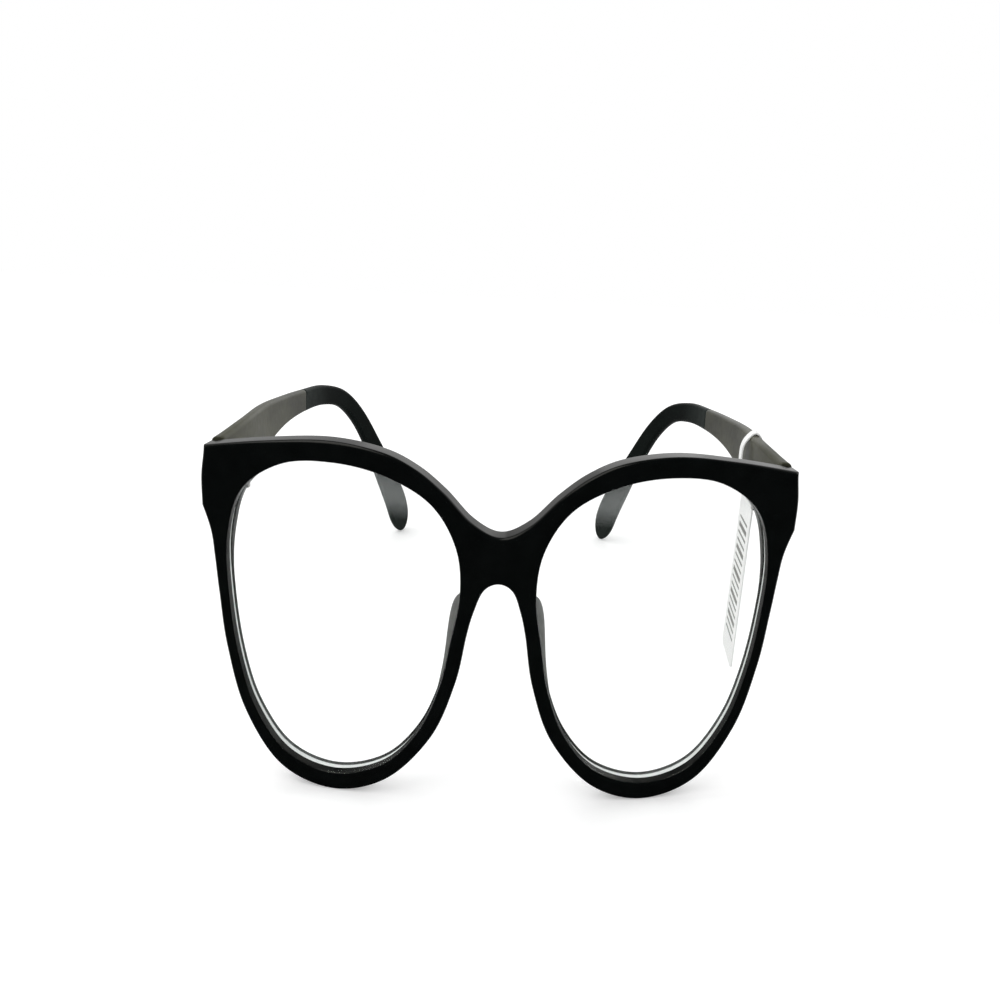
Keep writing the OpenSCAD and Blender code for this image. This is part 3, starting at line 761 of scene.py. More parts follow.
class GLASSES_OT_front(bpy.types.Operator):
    """Builds the moulded front: rims with their lens grooves, bridge, brow and end pieces"""

    bl_idname = "glasses.front"
    bl_label = "Front"

    def execute(self, context):
        s = context.scene.glasses_front
        o = Outline(s)
        around = stations(o)
        sections = [rim_section(o, q, context.scene.glasses_lens) for q in around]
        skin = Skin()
        for side in SIDES.values():
            rings = [skin.ring(o.placed(section, side)) for section in sections]
            for i, ring in enumerate(rings):
                j = (i + 1) % len(rings)
                shared = around[i][1][0] == 0 and around[j][1][0] == 0
                skin.join(ring, rings[j], left_out=range(WALL_FROM, WALL_TO) if shared else ())
        piece = skin.piece("front", black_plastic(s))
        flatten_foot(piece, [lambda co: co.x > 0, lambda co: co.x < 0])
        for side in SIDES:
            low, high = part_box("front_hinge_leaf_" + side)
            cut(piece, (low.x - PLAY, low.y, low.z - PLAY), (high.x + PLAY, high.y, high.z + PLAY))
        smooth_shade(piece)
        finish_piece(piece, "front", ["front_frame"])
        return {"FINISHED"}


class GLASSES_OT_lenses(bpy.types.Operator):
    """Builds the two clear lenses, with ground edges that sit in the grooves"""

    bl_idname = "glasses.lenses"
    bl_label = "Lenses"

    rings: bpy.props.IntProperty(name="Rings", description="Rings from the middle to the edge", default=14)

    def execute(self, context):
        s = context.scene.glasses_lens
        o = Outline(context.scene.glasses_front)
        steps = LENS_STEPS * len(OPENING)
        places = [k * len(OPENING) / steps for k in range(steps)]
        edge = [(o.opening(u), o.opening_normal(u)) for u in places]
        middle = [sum(p[a] for p, _ in edge) / steps for a in (0, 1)]
        seat, bevel = s.seat / MM, 0.15
        flat = [moved(p, n, seat - bevel) for p, n in edge]
        rim = [moved(p, n, seat) for p, n in edge]
        materials = [clear_lens(s), ground_edge()]
        for side_name, side in SIDES.items():
            skin = Skin()
            edges = []
            for depth, inwards in ((s.set_back / MM, bevel), ((s.set_back + s.thickness) / MM, -bevel)):
                rings = []
                for r in range(self.rings + 1):
                    share = (r + 1) / (self.rings + 1)
                    drawn_in = [[middle[a] + (q[a] - middle[a]) * share for a in (0, 1)] for q in flat]
                    rings.append(skin.ring([o.place(q, depth, side) for q in drawn_in]))
                centre = skin.ring([o.place(middle, depth, side)])[0]
                skin.fan(centre, rings[0])
                skin.tube(rings)
                edges += [rings[-1], skin.ring([o.place(q, depth + inwards, side) for q in rim])]
            for a, b in ((0, 1), (1, 3), (3, 2)):
                skin.join(edges[a], edges[b], slot=1)
            piece = skin.piece("lens_" + side_name + "_clear", *materials)
            smooth_shade(piece, 30, weighted=False)
            finish_piece(piece, "front", ["lens_" + side_name])
        return {"FINISHED"}


class GLASSES_OT_nose_pads(bpy.types.Operator):
    """Builds the two leaf-shaped pads behind the nose side of the rims"""

    bl_idname = "glasses.nose_pads"
    bl_label = "Nose pads"

    low_end: bpy.props.FloatProperty(
        name="Low end", description="Place on the rim of the low end", default=9.45)
    high_end: bpy.props.FloatProperty(
        name="High end", description="Place on the rim of the high end", default=12.5)

    def section(self, o, s, share):
        """Section of a pad at a share of its length, as pairs of a place in the outline and a depth."""
        # Reach at the ends, power of the swell between them, distance in from the rim's edge, and glue line
        end_reach, swell, inset, glue = 0.5, 1.2, 1.7, 0.02
        u = self.low_end + (self.high_end - self.low_end) * share
        m = o.run_normal(RIM, u)
        root = moved(o.run_at(RIM, u), m, inset)
        reach = end_reach + (s.reach / MM - end_reach) * math.sin(math.pi * share) ** swell
        half = s.thickness / MM / 2
        lean, drop = math.sin(s.splay), math.cos(s.splay)
        back = o.thickness(root) + glue
        points = []
        for k in range(PAD_AROUND + 1):
            a, b = on_open(PAD_SECTION, k * (len(PAD_SECTION) - 3) / PAD_AROUND)
            p = moved(moved(root, m, lean * reach * a), m, drop * half * b)
            depth = back + drop * reach * a + lean * half * (1 - b) + o.wrap(root[0]) - o.wrap(p[0])
            points.append((p, depth))
        return points

    def execute(self, context):
        s = context.scene.glasses_pad
        o = Outline(context.scene.glasses_front)
        material = pad_plastic(s)
        # Share of the length that each pointed end stops short by
        short = 0.02
        shares = [short + (1 - 2 * short) * k / PAD_STEPS for k in range(PAD_STEPS + 1)]
        sections = [self.section(o, s, share) for share in shares]
        for side_name, side in SIDES.items():
            skin = Skin()
            rings = [skin.ring(o.placed(section, side)) for section in sections]
            skin.face(rings[0])
            skin.face(rings[-1])
            skin.tube(rings)
            piece = skin.piece("pad_" + side_name, material)
            smooth_shade(piece, 40)
            finish_piece(piece, "front", ["nose_pad_" + side_name])
        return {"FINISHED"}


class TemplePath:
    """The temple's path and section, in metres, for the left side or mirrored to the right."""

    def __init__(self, scene, side):
        s = scene.glasses_temple
        self.side = side
        self.up_scale = Outline(scene.glasses_front).up_scale
        self.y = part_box("temple_arm_left")[0].y + ARM_START
        self.x = FRONT_HIGH.x - ARM_INSET - s.arm_thickness / 2
        self.ends = len(TEMPLE) - 3
        self.along_scale = s.reach / MM / DRAWN_REACH
        self.thick_scale = s.arm_thickness / MM / DRAWN_THICKNESS

    def at(self, u):
        """Middle of the section, its half depth and half thickness, and its twist."""
        along, out, up, height, thick, twist = on_open(TEMPLE, u)
        spot = Vector((self.x + out * MM, self.y + along * self.along_scale * MM, up * MM * self.up_scale))
        return spot, height * MM / 2, thick * self.thick_scale * MM / 2, math.radians(twist)

    def heading(self, u):
        return (self.at(u + NUDGE)[0] - self.at(u - NUDGE)[0]).normalized()

    def place_of(self, along):
        """Place on the path at a distance behind the temple's front end."""
        low, high = 0.0, float(self.ends)
        for _ in range(30):
            middle = mean_of(low, high)
            if on_open(TEMPLE, middle)[0] * self.along_scale * MM < along:
                low = middle
            else:
                high = middle
        return mean_of(low, high)

    def row(self, u, shrink=(1, 1), inset=0.0, ahead=0.0):
        """One path point with its two directions and two half sizes."""
        spot, half_h, half_t, twist = self.at(u)
        heading = self.heading(u)
        side = heading.cross(Vector((0, 0, 1))).normalized()
        over = side.cross(heading)
        out = side * math.cos(twist) + over * math.sin(twist)
        up = over * math.cos(twist) - side * math.sin(twist)
        flip = Vector((self.side, 1, 1))
        return {
            "spot": (spot + heading * ahead) * flip, "out": out * flip, "up": up * flip,
            "half_t": half_t * shrink[0] - inset, "half_h": half_h * shrink[1] - inset,
        }

    def rows(self, start, end, steps):
        return [self.row(start + (end - start) * k / steps) for k in range(steps + 1)]

    def round_over(self, u, size, ahead):
        """Rows that round off an end: the section draws in by size as it runs ahead by size."""
        rows = []
        for k in range(1, END_ROUND_STEPS + 1):
            a = math.pi / 2 * k / END_ROUND_STEPS
            rows.append(self.row(u, inset=size * (1 - math.cos(a)), ahead=ahead * size * math.sin(a)))
        return rows


class GeometryTree(NodeWriter):
    """A Geometry Nodes tree with named inputs, of the kinds that are given, and a material."""

    def __init__(self, name, inputs):
        super().__init__(bpy.data.node_groups.new(name, "GeometryNodeTree"))
        self.socket("Geometry", "Geometry")
        self.sockets = {}
        for key, kind in {**inputs, "Material": "Material"}.items():
            self.sockets[key] = self.socket(key, kind)
        self.socket("Geometry", "Geometry", in_out="OUTPUT")
        self.given = self.add("NodeGroupInput").outputs
        self.result = self.add("NodeGroupOutput")

    def socket(self, name, kind, in_out="INPUT"):
        kind = "NodeSocket" + kind
        return self.tree.interface.new_socket(name, in_out=in_out, socket_type=kind).identifier

    def scaled(self, vector, factor):
        return self.add("ShaderNodeVectorMath", {0: vector, "Scale": factor}, operation="SCALE").outputs[0]

    def sum(self, a, b):
        return self.add("ShaderNodeVectorMath", {0: a, 1: b}, operation="ADD").outputs[0]

    def shifted_up(self, mesh, by):
        return self.add(
            "GeometryNodeTransform", {"Geometry": mesh, "Translation": self.vector(Z=by)}).outputs[0]

    def attribute(self, name, kind):
        node = self.add("GeometryNodeInputNamedAttribute", {"Name": name}, data_type=kind)
        return next(o for o in node.outputs if o.enabled and o.name == "Attribute")

    def path(self):
        return self.add("GeometryNodeMeshToCurve", {"Mesh": self.given["Geometry"]}).outputs["Curve"]

    def sweep(self, path, profile):
        return self.add("GeometryNodeCurveToMesh", {
            "Curve": path, "Profile Curve": profile, "Fill Caps": True}).outputs["Mesh"]

    def finish(self, geometry):
        """Ends the tree in real geometry with its material."""
        real = self.add("GeometryNodeRealizeInstances", {"Geometry": geometry}).outputs["Geometry"]
        dressed = self.add("GeometryNodeSetMaterial", {
            "Geometry": real, "Material": self.given["Material"]})
        self.set(self.result.inputs[0], dressed.outputs["Geometry"])
        return self


def run_tree(name, source, tree, values):
    """Runs a tree on a mesh and gives the result as a plain mesh object."""
    piece = new_object(name, source)
    modifier = piece.modifiers.new("Build", "NODES")
    modifier.node_group = tree.tree
    for key, value in values.items():
        modifier[tree.sockets[key]] = value
    return settle(piece)


def line_mesh(name, spots, vectors=None, numbers=None, joined=True):
    """A mesh of points, in a line or loose, that carry named vectors and numbers."""
    mesh = bpy.data.meshes.new(name)
    mesh.from_pydata(spots, [(k, k + 1) for k in range(len(spots) - 1)] if joined else [], [])
    for key, values in (vectors or {}).items():
        attribute = mesh.attributes.new(key, "FLOAT_VECTOR", "POINT")
        attribute.data.foreach_set("vector", [c for v in values for c in v])
    for key, values in (numbers or {}).items():
        mesh.attributes.new(key, "FLOAT", "POINT").data.foreach_set("value", values)
    return mesh


def loft_tree():
    """Sweeps a rounded rectangle, whose size changes along the path, into a closed skin."""
    t = GeometryTree("Rounded bar along a path", {"Sides": "Int", "Roundness": "Float"})
    profile = t.add("GeometryNodeCurvePrimitiveCircle", {"Resolution": t.given["Sides"], "Radius": 0.001})
    held = t.add("GeometryNodeCaptureAttribute", {"Geometry": profile.outputs["Curve"]}, domain="POINT")
    held.capture_items.new("FLOAT", "Turn")
    index = t.add("GeometryNodeInputIndex").outputs[0]
    turn = t.maths("DIVIDE", t.plus(index, 0.5), t.given["Sides"])
    t.set(held.inputs["Turn"], t.times(turn, 2 * math.pi))
    spine = t.add("GeometryNodeCaptureAttribute", {"Geometry": t.path()}, domain="POINT")
    spine.capture_items.new("VECTOR", "Centre")
    t.set(spine.inputs["Centre"], t.add("GeometryNodeInputPosition").outputs[0])
    skin = t.sweep(spine.outputs["Geometry"], held.outputs["Geometry"])
    half_t, half_h = t.attribute("half_t", "FLOAT"), t.attribute("half_h", "FLOAT")
    radius = t.times(t.maths("MINIMUM", half_t, half_h), t.given["Roundness"])
    parts = []
    for direction, half, wave in (("out", half_t, "COSINE"), ("up", half_h, "SINE")):
        value = t.maths(wave, held.outputs["Turn"])
        corner = t.times(t.maths("SIGN", value), t.maths("SUBTRACT", half, radius))
        reach = t.plus(corner, t.times(value, radius))
        parts.append(t.scaled(t.attribute(direction, "FLOAT_VECTOR"), reach))
    spot = t.sum(spine.outputs["Centre"], t.sum(*parts))
    shaped = t.add("GeometryNodeSetPosition", {"Geometry": skin, "Position": spot})
    return t.finish(shaped.outputs["Geometry"])


def tidy_skin(piece):
    """Merges doubles, points the faces outwards and drops the path's own attributes."""
    bm = open_mesh(piece.data)
    bmesh.ops.remove_doubles(bm, verts=bm.verts, dist=0.001 * MM)
    close_mesh(bm, piece.data)
    for key in ("out", "up", "half_t", "half_h"):
        if key in piece.data.attributes:
            piece.data.attributes.remove(piece.data.attributes[key])


def temple_piece(name, rows, tree, material):
    """Sweeps the temple's section along rows of its path."""
    mesh = line_mesh(
        name, [r["spot"] for r in rows],
        vectors={key: [r[key] for r in rows] for key in ("out", "up")},
        numbers={key: [r[key] for r in rows] for key in ("half_t", "half_h")})
    piece = run_tree(name, mesh, tree, {
        "Material": material, "Sides": TEMPLE_SIDES, "Roundness": TEMPLE_ROUNDNESS})
    tidy_skin(piece)
    return piece


class GLASSES_OT_arms(bpy.types.Operator):
    """Builds the two grey-brown arms, deep at the hinge and slim at the seam"""

    bl_idname = "glasses.arms"
    bl_label = "Arms"

    def execute(self, context):
        s = context.scene.glasses_temple
        material = arm_plastic(s)
        tree = loft_tree()
        for side_name, side in SIDES.items():
            path = TemplePath(context.scene, side)
            start = path.place_of(ARM_END_ROUND)
            end = path.place_of(s.seam_at - s.seam_gap / 2 - s.seam_round)
            rows = path.round_over(start, ARM_END_ROUND, -1)[::-1]
            rows += path.rows(start, end, ARM_STEPS)
            rows += path.round_over(end, s.seam_round, 1)
            piece = temple_piece("arm_" + side_name, rows, tree, material)
            low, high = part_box("temple_hinge_leaf_" + side_name)
            leaf_start = HINGE_AT["temple_" + side_name].y + LEAF_FROM
            cut(piece, (low.x, leaf_start, low.z - PLAY),
                (high.x, high.y + PLAY, low.z + LEAF_HEIGHT + PLAY))
            smooth_shade(piece)
            finish_piece(piece, "temple_" + side_name, ["temple_arm_" + side_name])
        return {"FINISHED"}


class GLASSES_OT_tips(bpy.types.Operator):
    """Builds the two ear tips, bent down and inwards to a wider paddle"""

    bl_idname = "glasses.tips"
    bl_label = "Ear tips"

    def execute(self, context):
        s = context.scene.glasses_temple
        material = tip_plastic(s)
        tree = loft_tree()
        # Part of the path over which the paddle rounds off, how far it closes, and thickness that it keeps
        round_part, closing, kept = 0.75, 0.985, 0.35
        for side_name, side in SIDES.items():
            path = TemplePath(context.scene, side)
            start = path.place_of(s.seam_at + s.seam_gap / 2 + s.seam_round)
            round_from = path.ends - round_part
            rows = path.round_over(start, s.seam_round, -1)[::-1]
            rows += path.rows(start, round_from, TIP_STEPS)
            for k in range(1, PADDLE_STEPS + 1):
                share = math.sin(math.pi / 2 * k / PADDLE_STEPS)
                draw = math.sqrt(1 - closing * share * share)
                place = round_from + (path.ends - round_from) * share
                rows.append(path.row(place, (kept + (1 - kept) * draw, draw)))
            piece = temple_piece("tip_" + side_name, rows, tree, material)
            flatten_foot(piece, [lambda co: True])
            smooth_shade(piece, 50)
            finish_piece(piece, "temple_" + side_name, ["temple_tip_" + side_name])
        return {"FINISHED"}


def screw_tree():
    """Sets a slotted screw on each point, standing along the point's direction."""
    t = GeometryTree("Slotted screws", {
        "Diameter": "Float", "Head height": "Float", "Slot width": "Float", "Shank": "Float"})
    # Shares of the diameter, the slot's lift as a share of the head's height, and the seed of the turns
    top_share, slot_reach, slot_lift, spin_seed = 0.55, 4.0, 0.85, 7
    diameter, head_height, shank = t.given["Diameter"], t.given["Head height"], t.given["Shank"]
    head = t.add("GeometryNodeMeshCone", {
        "Vertices": 40, "Radius Bottom": t.times(diameter, HEAD_SHARE),
        "Radius Top": t.times(diameter, top_share), "Depth": head_height})
    slot = t.add("GeometryNodeMeshCube", {"Size": t.vector(
        X=t.times(diameter, slot_reach), Y=t.given["Slot width"], Z=head_height)})
    raised = t.shifted_up(slot.outputs["Mesh"], t.times(head_height, slot_lift))
    slotted = t.add("GeometryNodeMeshBoolean", {
        "Mesh 1": head.outputs["Mesh"], "Mesh 2": raised}, operation="DIFFERENCE", solver="EXACT")
    rod = t.add("GeometryNodeMeshCylinder", {
        "Vertices": 32, "Radius": t.times(diameter, 0.5), "Depth": shank})
    lowered = t.shifted_up(rod.outputs["Mesh"], t.times(shank, -0.5))
    screw = t.add("GeometryNodeJoinGeometry")
    t.set(screw.inputs[0], slotted.outputs["Mesh"])
    t.set(screw.inputs[0], lowered)
    points = t.add("GeometryNodeMeshToPoints", {"Mesh": t.given["Geometry"]})
    out = t.attribute("out", "FLOAT_VECTOR")
    turn = t.add("FunctionNodeAlignRotationToVector", {"Vector": out}, axis="Z")
    angle = t.add("FunctionNodeRandomValue", {3: 2 * math.pi, "Seed": spin_seed}, data_type="FLOAT")
    euler = t.add("FunctionNodeEulerToRotation", {0: t.vector(Z=angle.outputs[1])})
    spin = t.add("FunctionNodeRotateRotation", {
        "Rotation": turn.outputs[0], "Rotate By": euler.outputs[0]}, rotation_space="LOCAL")
    set_on = t.add("GeometryNodeInstanceOnPoints", {
        "Points": points.outputs["Points"], "Instance": screw.outputs[0], "Rotation": spin.outputs[0]})
    return t.finish(set_on.outputs["Instances"])


class GLASSES_OT_leaf_screws(bpy.types.Operator):
    """Sets the slotted leaf screws in the four hinge leaves"""

    bl_idname = "glasses.leaf_screws"
    bl_label = "Leaf screws"

    def seats(self, s, node, out):
        """Foot of each head: the two ends of the CAD pair, at the leaf's face."""
        low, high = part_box(node)
        along, across = (2, 1) if out.y else (1, 0)
        head_r = HEAD_SHARE * s.leaf_screw
        seats = []
        for edge, step in ((low, 1), (high, -1)):
            seat = (low + high) / 2
            seat[along] = edge[along] + step * head_r
            face = high[across] if out[across] > 0 else low[across]
            seat[across] = face - out[across] * s.head_height
            seats.append(seat)
        return seats

    def execute(self, context):
        s = context.scene.glasses_hinge
        material = screw_steel(s)
        tree = screw_tree()
        backwards, inwards = Vector((0, 1, 0)), Vector((-1, 0, 0))
        groups = {"front": (["front_leaf_screws_right", "front_leaf_screws_left"], backwards)}
        for side_name, side in SIDES.items():
            groups["temple_" + side_name] = (["temple_leaf_screws_" + side_name], inwards * side)
        for body, (nodes, out) in groups.items():
            name = body + "_leaf_screw_set"
            seats = [seat for node in nodes for seat in self.seats(s, node, out)]
            mesh = line_mesh(name, seats, vectors={"out": [out] * len(seats)}, joined=False)
            piece = run_tree(name, mesh, tree, {
                "Material": material, "Diameter": s.leaf_screw, "Head height": s.head_height,
                "Slot width": s.slot_width, "Shank": s.shank})
            smooth_shade(piece, 30, weighted=False)
            finish_piece(piece, body, nodes)
        return {"FINISHED"}


class GLASSES_OT_hinges(bpy.types.Operator):
    """Gives the hinge leaves, hinge screws and metal cores their finish"""

    bl_idname = "glasses.hinges"
    bl_label = "Hinges and cores"

    def execute(self, context):
        s = context.scene.glasses_hinge
        leaf_finish = hinge_metal(s)
        finishes = {
            "front_hinge_leaf": leaf_finish,
            "temple_hinge_leaf": leaf_finish,
            "hinge_screw": screw_steel(s),
            "temple_core": core_wire(context.scene.glasses_temple),
        }
        for kind, material in finishes.items():
            for side_name in SIDES:
                mesh = frame["nodes"][kind + "_" + side_name].data
                mesh.materials.clear()
                mesh.materials.append(material)
        return {"FINISHED"}


def strap_tree():
    """Sweeps a flat strap along a path, flat side across the arm."""
    t = GeometryTree("Flat strap along a path", {"Width": "Float", "Thickness": "Float", "Way": "Vector"})
    turned = t.add("GeometryNodeSetCurveNormal", {"Curve": t.path(), "Normal": t.given["Way"]}, mode="FREE")
    band = t.add("GeometryNodeCurvePrimitiveQuadrilateral", {
        "Width": t.given["Width"], "Height": t.given["Thickness"]})
    return t.finish(t.sweep(turned.outputs["Curve"], band.outputs["Curve"]))


def bars_tree():
    """Repeats flat bars at even steps, each third one wider."""
    t = GeometryTree("Even printed bars", {
        "Count": "Int", "Step": "Float", "Length": "Float", "Thickness": "Float"})
    # Height of a bar, and what a third one has more, as shares of the step
    narrow, widened = 0.3, 0.3
    offset = t.vector(Z=t.times(t.given["Step"], -1.0))
    line = t.add("GeometryNodeMeshLine", {"Count": t.given["Count"], "Offset": offset})
    index = t.add("GeometryNodeInputIndex").outputs[0]
    third = t.maths("COMPARE", t.maths("MODULO", index, 3.0), 1.0, 0.1)
    share = t.plus(narrow, t.times(third, widened))
    height = t.times(t.given["Step"], share)
    size = t.vector(X=t.given["Thickness"], Y=t.given["Length"], Z=height)
    bar = t.add("GeometryNodeMeshCube", {"Size": (1, 1, 1)})
    set_on = t.add("GeometryNodeInstanceOnPoints", {
        "Points": line.outputs["Mesh"], "Instance": bar.outputs["Mesh"], "Scale": size})
    return t.finish(set_on.outputs["Instances"])


def strap_points(a, b):
    """Middle line of the strap from the card, over the arm and back, in mm from the arm's middle."""
    return [
        (-a - 1.6, -7.5, -b - 5), (-a - 1.6, -5.2, -b - 1.5), (-a - 1.5, -1.8, -b * 0.5),
        (-a - 1.3, -0.2, b * 0.1), (-a - 0.85, 0, b * 0.62), (-a * 0.4, 0, b + 0.08),
        (a * 0.45, 0, b + 0.02), (a + 0.05, 0, b * 0.7), (a + 0.12, 0, 0),
        (a + 0.18, 0, -b * 0.7), (a * 0.5, 0, -b - 0.3), (-a * 0.7, 0, -b * 0.93 - 0.2),
        (-a - 0.85, -0.5, -b * 0.25), (-a - 0.95, -0.5, b * 0.2),
    ]


class GLASSES_OT_stock_tag(bpy.types.Operator):
    """Builds the white card with its plain bars, and the strap looped round the left arm"""

    bl_idname = "glasses.stock_tag"
    bl_label = "Stock tag"

    strap_at: length_property("Strap", "Distance from the temple's front end to the strap", 0.0185)
    turn: angle_property("Turn", "Angle of the card to the arm", 11)

    def execute(self, context):
        s = context.scene.glasses_tag
        path = TemplePath(context.scene, SIDES["left"])
        place = path.place_of(self.strap_at)
        middle, half_h, half_t, _ = path.at(place)
        material = tag_card(s)
        self.strap(s, middle, half_h, half_t, path.heading(place), material)
        # Where the card's far top corner lies from the arm, the hinge and the hinge leaf
        inward, back, down = 2 * MM, 1.6 * MM, 1.6 * MM
        arm_side = middle.x - context.scene.glasses_temple.arm_thickness / 2
        leaf_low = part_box("temple_hinge_leaf_left")[0].z
        far = Vector((arm_side - inward, HINGE_AT["temple_left"].y + back + s.card_width, leaf_low - down))
        self.card(s, far, material)
        self.bars(s, far)
        return {"FINISHED"}

    def strap(self, s, middle, half_h, half_t, way, material):
        """Strap round the arm's section at one place, along the points drawn for it."""
        clearance = 0.12 * MM
        gap = s.thickness / 2 + clearance
        drawn = strap_points((half_t + gap) / MM, (half_h + gap) / MM)
        places = [(len(drawn) - 3) * k / STRAP_STEPS for k in range(STRAP_STEPS + 1)]
        spots = [middle + Vector(on_open(drawn, u)) * MM for u in places]
        strap = run_tree("tag_strap", line_mesh("tag_strap", spots), strap_tree(), {
            "Material": material, "Width": s.strap_width, "Thickness": s.thickness, "Way": list(way)})
        tidy_skin(strap)
        smooth_shade(strap, 40)
        finish_piece(strap, "temple_left")

    def card(self, s, far, material):
        """Flat card with rounded corners, hung from its far top corner."""
        r, steps = 1.2 * MM, 6
        w, h, t = s.card_width, s.card_length, s.thickness / 2
        outline = []
        for corner, (y, z) in enumerate(((-r, -r), (-w + r, -r), (-w + r, -h + r), (-r, -h + r))):
            for k in range(steps + 1):
                a = math.radians(90 * corner + 90 * k / steps)
                outline.append((y + r * math.cos(a), z + r * math.sin(a)))
        skin = Skin()
        near, away = [skin.ring([(x, y, z) for y, z in outline]) for x in (-t, t)]
        skin.face(near)
        skin.face(reversed(away))
        skin.join(near, away)
        card = skin.piece("tag_card_sheet", material)
        self.hang(card, far, Vector((0, 0, 0)))
        smooth_shade(card, 30, weighted=False)
        finish_piece(card, "temple_left", ["stock_tag"])

    def bars(self, s, far):
        """Plain bars that stand a hair proud of both faces of the card, down its far edge."""
        length, step, proud = 7 * MM, 1.9 * MM, 0.03 * MM
        edge_margin, top_margin = 1.7 * MM, 5.4 * MM
        bars = run_tree("tag_bars", bpy.data.meshes.new("tag_bars"), bars_tree(), {
            "Material": tag_ink(s), "Count": s.bar_count, "Length": length,
            "Thickness": s.thickness + proud, "Step": step})
        self.hang(bars, far, Vector((0, -edge_margin - length / 2, -top_margin)))
        finish_piece(bars, "temple_left")

    def hang(self, piece, far, by):
        """Moves a piece's mesh onto the card, whose far top corner is given."""
        from_corner = Euler((0, 0, -self.turn)).to_matrix()
        for v in piece.data.vertices:
            v.co = far + from_corner @ (v.co + by)


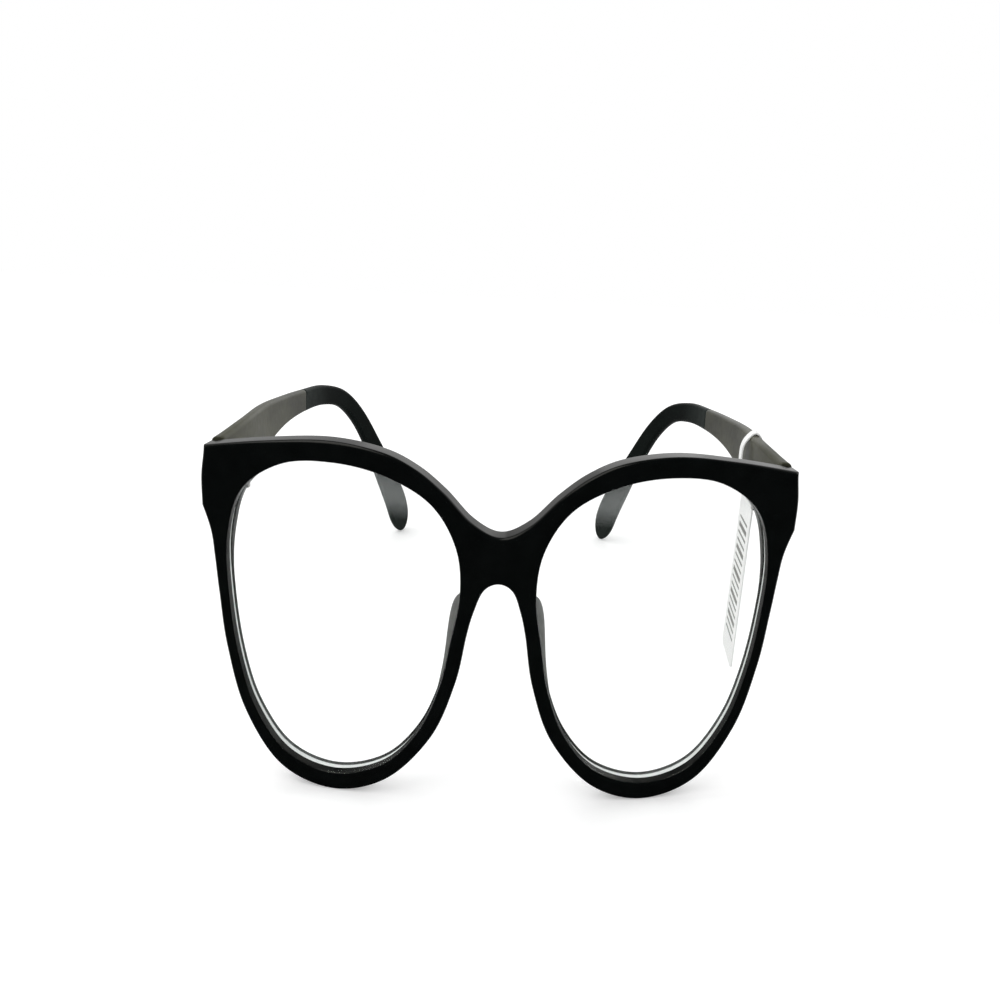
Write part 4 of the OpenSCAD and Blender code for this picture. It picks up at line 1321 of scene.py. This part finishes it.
class GLASSES_OT_stage(bpy.types.Operator):
    """Makes the camera, the floor and the soft studio light"""

    bl_idname = "glasses.stage"
    bl_label = "Stage"

    def execute(self, context):
        s = context.scene.glasses_stage
        self.camera(context, s)
        self.floor(s)
        self.world(context)
        self.lamp("overhead_box", at=(-0.24, -0.1, 0.58), towards=(0, 0, 0.03), size=0.46, power=1.3)
        self.lamp("back_box", at=(0.1, 0.62, 0.46), towards=(0, 0, 0.05), size=0.5, power=0.5)
        context.scene.view_settings.view_transform = "Standard"
        return {"FINISHED"}

    def camera(self, context, s):
        data = bpy.data.cameras.new("camera")
        data.lens = s.lens
        data.sensor_width = 36
        data.shift_x = s.sideways
        data.shift_y = s.rise
        data.clip_start = 0.005
        data.dof.use_dof = False
        camera = new_object("camera", data)
        yaw = Euler((0, 0, -s.yaw)).to_matrix()
        pitch = Euler((math.pi / 2 - s.pitch, 0, 0)).to_matrix()
        roll = Euler((0, 0, s.roll)).to_matrix()
        camera.rotation_mode = "QUATERNION"
        camera.rotation_quaternion = (yaw @ pitch @ roll).to_quaternion()
        camera.location = s.camera_at
        context.scene.camera = camera

    def floor(self, s):
        half = 3.0
        mesh = bpy.data.meshes.new("floor")
        mesh.from_pydata([(-half, -half, 0), (half, -half, 0), (half, half, 0), (-half, half, 0)], [],
                         [(0, 1, 2, 3)])
        floor = new_object("floor", mesh)
        f = Finish("white studio floor")
        colour = f.shades(f.noise(scale=30, detail=2), s.floor_colour, 0.99, 1)
        rays = f.add("ShaderNodeLightPath").outputs
        place = f.axes(f.coords)
        # What mirrors: a dark room before the glasses, brighter to the right behind them
        ahead = f.spread(place["Y"], 0.02, 1, start=FRONT_Y + 0.002, end=0.01)
        across = f.spread(place["X"], 0.5, 1, start=-0.3, end=0.3)
        mirrored = f.times(ahead, across)
        seen = f.plus(mirrored, f.maths("SUBTRACT", 1, rays["Is Glossy Ray"]))
        lit = f.shader("BsdfDiffuse", {"Color": f.between(f.maths("MINIMUM", seen, 1), (0, 0, 0), colour)})
        # What the camera sees: the floor fades into the white room away from the glasses
        away = f.add("ShaderNodeVectorMath", {0: f.coords}, operation="LENGTH").outputs["Value"]
        fade = f.spread(away, 0.23, 0.5, start=0.1, end=0.6)
        strength = f.times(rays["Is Camera Ray"], fade)
        glow = f.shader("Emission", {"Color": opaque((1, 1, 1)), "Strength": strength})
        mesh.materials.append(f.done(f.shader("AddShader", {0: lit, 1: glow})))

    def world(self, context):
        """White to the camera; mirrored, it is dark before the glasses and bright behind them."""
        world = bpy.data.worlds.new("white studio")
        context.scene.world = world
        world.use_nodes = True
        w = NodeWriter(world.node_tree)
        w.tree.nodes.clear()
        rays = w.add("ShaderNodeLightPath").outputs
        way = w.axes(w.add("ShaderNodeTexCoord").outputs["Generated"])
        behind = w.spread(way["Y"], 0.015, 1.0, start=-0.25, end=0.3)
        low = w.spread(way["Z"], 1.0, 0.12, start=0.4, end=0.7)
        across = w.spread(way["X"], 0.7, 1.1, start=-0.7, end=0.7)
        wall = w.times(behind, w.times(low, across))
        mirrored = w.times(rays["Is Glossy Ray"], wall)
        ambient = w.times(rays["Is Diffuse Ray"], 0.8)
        seen = w.maths("MAXIMUM", rays["Is Camera Ray"], rays["Is Transmission Ray"])
        strength = w.plus(w.plus(mirrored, ambient), seen)
        light = w.add("ShaderNodeBackground", {"Color": opaque((1, 1, 1)), "Strength": strength})
        w.add("ShaderNodeOutputWorld", {"Surface": light.outputs[0]})

    def lamp(self, name, at, towards, size, power):
        data = bpy.data.lights.new(name, "AREA")
        data.shape = "SQUARE"
        data.size = size
        data.energy = power
        lamp = new_object(name, data)
        lamp.location = at
        lamp.rotation_mode = "QUATERNION"
        lamp.rotation_quaternion = (Vector(towards) - Vector(at)).to_track_quat("-Z", "Y")


OPERATORS = [
    GLASSES_OT_stage, GLASSES_OT_front, GLASSES_OT_lenses, GLASSES_OT_nose_pads, GLASSES_OT_arms,
    GLASSES_OT_tips, GLASSES_OT_hinges, GLASSES_OT_leaf_screws, GLASSES_OT_stock_tag,
]


class GLASSES_PT_panel(bpy.types.Panel):
    """Lists the pieces of the eyeglasses and their sizes"""

    bl_idname = "GLASSES_PT_panel"
    bl_label = "Eyeglasses"
    bl_space_type = "VIEW_3D"
    bl_region_type = "UI"
    bl_category = "Eyeglasses"

    def draw(self, context):
        for operator in OPERATORS:
            self.layout.operator(operator.bl_idname)
        for key, group in SETTINGS.items():
            box = self.layout.box()
            for name in group.__annotations__:
                box.prop(getattr(context.scene, key), name)


def register():
    for group in [*SETTINGS.values(), *OPERATORS, GLASSES_PT_panel]:
        bpy.utils.register_class(group)
    for key, group in SETTINGS.items():
        setattr(bpy.types.Scene, key, bpy.props.PointerProperty(type=group))


def unregister():
    for key in SETTINGS:
        delattr(bpy.types.Scene, key)
    for group in reversed([*SETTINGS.values(), *OPERATORS, GLASSES_PT_panel]):
        bpy.utils.unregister_class(group)


def main():
    register()
    for operator in OPERATORS:
        group, call = operator.bl_idname.split(".")
        getattr(getattr(bpy.ops, group), call)()


if __name__ == "__main__":
    main()
